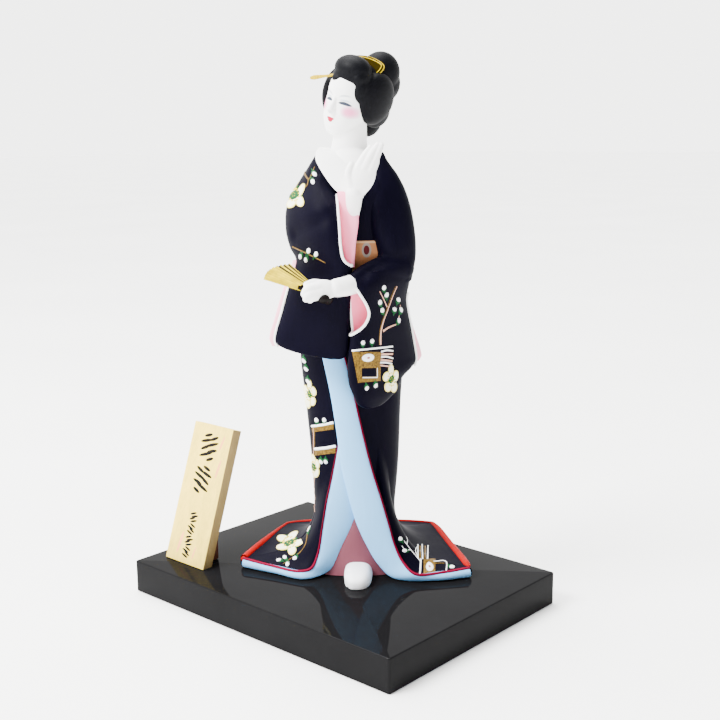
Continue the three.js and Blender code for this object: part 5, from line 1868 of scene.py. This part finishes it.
class DOLL_OT_fan(bpy.types.Operator):
    """Builds the folding fan: pleated gilt leaf, sticks and their round head"""
    bl_idname = "doll.fan"
    bl_label = "Folding fan"

    def execute(self, context):
        leaf = piece("fan_leaf_pleated", pleated_leaf(), leaf_paint(), crease=20)
        shares = np.repeat(np.linspace(0, 1, LEAF_STEPS + 1), len(LEAF_SECTION))
        store(leaf.data, "share", "FLOAT", np.append(shares, [0, 1]))
        settle(leaf, "gilt_paper", "fan_leaf")
        count = INNER_RIBS["count"]
        spread = zip(np.linspace(*INNER_RIBS["share"], count), np.linspace(*INNER_RIBS["lift"], count))
        ribs = [fan_rib(share, *INNER_RIBS["size"], lift) for share, lift in spread]
        ribs += [fan_rib(*rib) for rib in OUTER_RIBS]
        ribs += [lump(place, reach, None, 40, 24) for place, reach in RIB_ENDS]
        rivet = np.linspace(-RIVET["half"], RIVET["half"], 5)
        ribs.append(tube([FAN_PIVOT + FAN_ACROSS * t for t in rivet], RIVET["radius"], 40))
        dark = lacquer("dark stick lacquer", (0.004, 0.003, 0.003), 0.3, 0.1)
        settle(piece("fan_ribs", joined(ribs), dark), "dark_lacquer", "fan_sticks")
        return {"FINISHED"}


# Plinth and tablet

BOARD = dict(length=210, depth=155, height=20)
TABLET = dict(width=36, height=88, thickness=7, lean=math.radians(18.8))
PROP = dict(width=16, depth=12, inset=12)
TABLET_PLACE = Matrix.Translation((-95, -61.2, PLINTH_TOP + REST_GAP))
FLOOR = dict(size=30000, thickness=4, gap=0.2)


def rounded_board(length, depth, height, edge=0.8, corner=1.6, steps=5):
    """Slab with rounded edges and corners."""
    rings = []
    for turn in np.linspace(-math.pi / 2, math.pi / 2, 2 * steps + 1):
        inset = edge * (1 - math.cos(turn))
        z = edge * (1 + math.sin(turn)) if turn <= 0 else height - edge * (1 - math.sin(turn))
        rings.append(corner_ring(length / 2 - inset, depth / 2 - inset, corner - inset * 0.5, z, steps))
        if abs(turn) < 1e-6:
            rings.append(corner_ring(length / 2, depth / 2, corner, height - edge, steps))
    return loft(rings)


def corner_ring(x, y, radius, z, steps):
    ring = []
    for sx, sy, base in ((1, -1, -90), (1, 1, 0), (-1, 1, 90), (-1, -1, 180)):
        for step in range(steps + 1):
            a = math.radians(base + 90 * step / steps)
            x_out, y_out = radius * math.cos(a), radius * math.sin(a)
            ring.append((sx * (x - radius) + x_out, sy * (y - radius) + y_out, z))
    return ring


def bevelled_bar(corners, length, bevel):
    """Bar of one section along X, its edges rounded off."""
    made = scratch_object(loft([[(x, y, z) for y, z in corners] for x in (0, length)]))
    edges = made.modifiers.new("edges", "BEVEL")
    edges.width, edges.segments, edges.limit_method = bevel, 3, "ANGLE"
    edges.angle_limit = math.radians(25)
    return form_of(made)[0]


def tablet_form():
    lean, thick, height = TABLET["lean"], TABLET["thickness"], TABLET["height"]
    top = (height * math.sin(lean), height * math.cos(lean))
    behind = (top[0] + thick * math.cos(lean), top[1] - thick * math.sin(lean))
    corners = [(0, 0), (thick / math.cos(lean), 0), behind, top]
    return moved(bevelled_bar(corners, TABLET["width"], 0.4), TABLET_PLACE)


def prop_form():
    near = TABLET["thickness"] / math.cos(TABLET["lean"]) + REST_GAP
    far = near + PROP["depth"]
    corners = [(near, 0), (far, 0), (far, PROP["depth"] / math.tan(TABLET["lean"]))]
    place = TABLET_PLACE @ Matrix.Translation((PROP["inset"], 0, 0))
    return moved(bevelled_bar(corners, PROP["width"], 0.3), place)


def tablet_marks(name, marks, height, finish):
    """Stamps on the tablet's leaning face: across, up, turn, half length, half width."""
    lean = TABLET_PLACE @ Matrix.Rotation(math.pi / 2 - TABLET["lean"], 4, "X")
    places, turns, sizes = [], [], []
    for u, up, turn, half, thin in marks:
        places.append((lean @ Vector((u, up, 0)) * MM)[:])
        turns.append((lean.to_3x3() @ Matrix.Rotation(math.radians(turn), 3, "Z")).to_euler()[:])
        sizes.append((half * MM, thin * MM, height * MM))
    return stamps_on(name, places, turns, sizes, finish)


class DOLL_OT_plinth(bpy.types.Operator):
    """Builds the black lacquered plinth"""
    bl_idname = "doll.plinth"
    bl_label = "Plinth"

    def execute(self, context):
        board = piece("plinth_board", rounded_board(**BOARD), lacquer("black lacquer", tint("lacquer")),
                      on_figure=False)
        settle(board, "black_lacquer", "plinth")
        return {"FINISHED"}


class DOLL_OT_tablet(bpy.types.Operator):
    """Builds the leaning name tablet and the wooden prop behind it"""
    bl_idname = "doll.tablet"
    bl_label = "Name tablet"

    def execute(self, context):
        grain_up, grain_across = (1, 1, 0.06), (0.06, 1, 1)
        # The side colour is painted shade on the tablet's edges
        pale = wood("pale wood", tint("wood"), shade(tint("wood"), 0.68), grain_up, side=(0.36, 0.25, 0.1))
        brown = wood("brown wood", (0.13, 0.045, 0.025), (0.06, 0.02, 0.012), grain_across)
        settle(piece("tablet_board", tablet_form(), pale, on_figure=False), "pale_wood", "name_tablet")
        ink, faint = plain_paint("ink"), plain_paint("faint seal red")
        settle(tablet_marks("tablet_ink", ink_strokes(), sizes().ink / MM, ink), "pale_wood")
        seals = [(u, up, turn, half, half * 0.16) for u, up, turn, half in SEALS]
        settle(tablet_marks("tablet_seals", seals, 0.04, faint), "pale_wood")
        settle(piece("prop_block", prop_form(), brown, on_figure=False), "brown_wood", "tablet_prop")
        return {"FINISHED"}


# Stage

# The surroundings are brightest behind the doll and to its left and fade along this slope
WORLD_SLOPE, WORLD_FADE = (0.457, -0.059, 0.5), (-0.12, 0.5, 4.7, 0.7)
# Lights: kind, place, and size in metres or spread of a sun; all aim at the middle of the doll
LIGHTS = {
    "key": ("AREA", (-0.5, -1.25, 1.55), (0.8, 0.7)), "top": ("SUN", (-0.45, 0, 2), math.radians(50)),
}
LIGHT_AIM = (0, 0, 0.17)


def surroundings():
    world = bpy.data.worlds.new("studio")
    world.use_nodes = True
    tree = world.node_tree
    light = tree.nodes["Background"]
    light.inputs["Color"].default_value = (1, 1, 0.985, 1)
    way, slope, fade = (tree.nodes.new(kind) for kind in (
        "ShaderNodeTexCoord", "ShaderNodeVectorMath", "ShaderNodeMapRange"))
    slope.operation = "DOT_PRODUCT"
    slope.inputs[1].default_value = WORLD_SLOPE
    for socket, value in zip(("From Min", "From Max", "To Min", "To Max"), WORLD_FADE):
        fade.inputs[socket].default_value = value
    wire(tree, (way, "Generated", slope, 0), (slope, "Value", fade, "Value"), (fade, 0, light, "Strength"))
    return world


class DOLL_OT_stage(bpy.types.Operator):
    """Sets the floor, the soft lights, the pale surroundings and the camera"""
    bl_idname = "doll.stage"
    bl_label = "Stage"

    def execute(self, context):
        floor = rounded_board(FLOOR["size"], FLOOR["size"], FLOOR["thickness"], 0.5, 3)
        floor = moved(floor, Matrix.Translation((0, 0, -FLOOR["thickness"] - FLOOR["gap"])))
        paper = Finish("backdrop paper", (0.92, 0.92, 0.91), 0.8, 0.1)
        paper.colour(paper.ramp(paper.noise(3, 2, 0.5), (0.3, (0.9, 0.9, 0.89)), (0.7, (0.94, 0.94, 0.93))))
        paper.bump(paper.noise(400, 2, 0.5), 0.05, 0.0002)
        piece("floor", floor, paper, on_figure=False)
        context.scene.world = surroundings()
        for name, (kind, place, size) in LIGHTS.items():
            lamp = bpy.data.lights.new(name, kind)
            lamp.energy = getattr(context.scene.doll_studio, name)
            if kind == "SUN":
                lamp.angle = size
            else:
                lamp.shape, lamp.size, lamp.size_y = "RECTANGLE", *size
            made = placed(name, lamp)
            made.location = place
            made.rotation_euler = (Vector(LIGHT_AIM) - Vector(place)).to_track_quat("-Z", "Y").to_euler()
        context.scene.camera = photo_camera()
        return {"FINISHED"}


CAMERA = dict(place=(0.4548, -0.4872, 0.2819), azimuth=41.942, elevation=11.204, roll=-0.465)


def photo_camera():
    data = bpy.data.cameras.new("camera")
    data.lens, data.sensor_width = bpy.context.scene.doll_studio.lens, 36
    data.clip_start = 0.01
    azimuth, elevation, roll = (math.radians(CAMERA[key]) for key in ("azimuth", "elevation", "roll"))
    aim = Matrix.Rotation(azimuth, 4, "Z") @ Matrix.Rotation(math.pi / 2 - elevation, 4, "X")
    made = placed("camera", data)
    made.matrix_world = Matrix.Translation(CAMERA["place"]) @ aim @ Matrix.Rotation(roll, 4, "Z")
    return made


STEPS = [
    DOLL_OT_plinth, DOLL_OT_robe, DOLL_OT_sleeves, DOLL_OT_sash, DOLL_OT_head, DOLL_OT_hair, DOLL_OT_fan,
    DOLL_OT_flowers, DOLL_OT_tablet, DOLL_OT_stage,
]


class DOLL_PT_panel(bpy.types.Panel):
    """Lists the steps of the doll"""
    bl_idname = "DOLL_PT_panel"
    bl_label = "Clay doll"
    bl_space_type = "VIEW_3D"
    bl_region_type = "UI"
    bl_category = "Doll"

    def draw(self, context):
        for group in GROUPS:
            box = self.layout.box()
            for name in GROUPS[group].__annotations__:
                box.prop(getattr(context.scene, group), name)
        for step in STEPS:
            self.layout.operator(step.bl_idname, text=step.bl_label)


GROUPS = {"doll_sizes": DOLL_PG_sizes, "doll_colours": DOLL_PG_colours, "doll_studio": DOLL_PG_studio}
CLASSES = [*GROUPS.values(), *STEPS, DOLL_PT_panel]


def register():
    for made in CLASSES:
        bpy.utils.register_class(made)
    for name, group in GROUPS.items():
        setattr(bpy.types.Scene, name, PointerProperty(type=group))


def unregister():
    for name in GROUPS:
        delattr(bpy.types.Scene, name)
    for made in reversed(CLASSES):
        bpy.utils.unregister_class(made)


def main():
    register()
    for step in STEPS:
        call = getattr(bpy.ops.doll, step.bl_idname.split(".")[1])
        if call() != {"FINISHED"}:
            raise RuntimeError(step.bl_label)


if __name__ == "__main__":
    main()
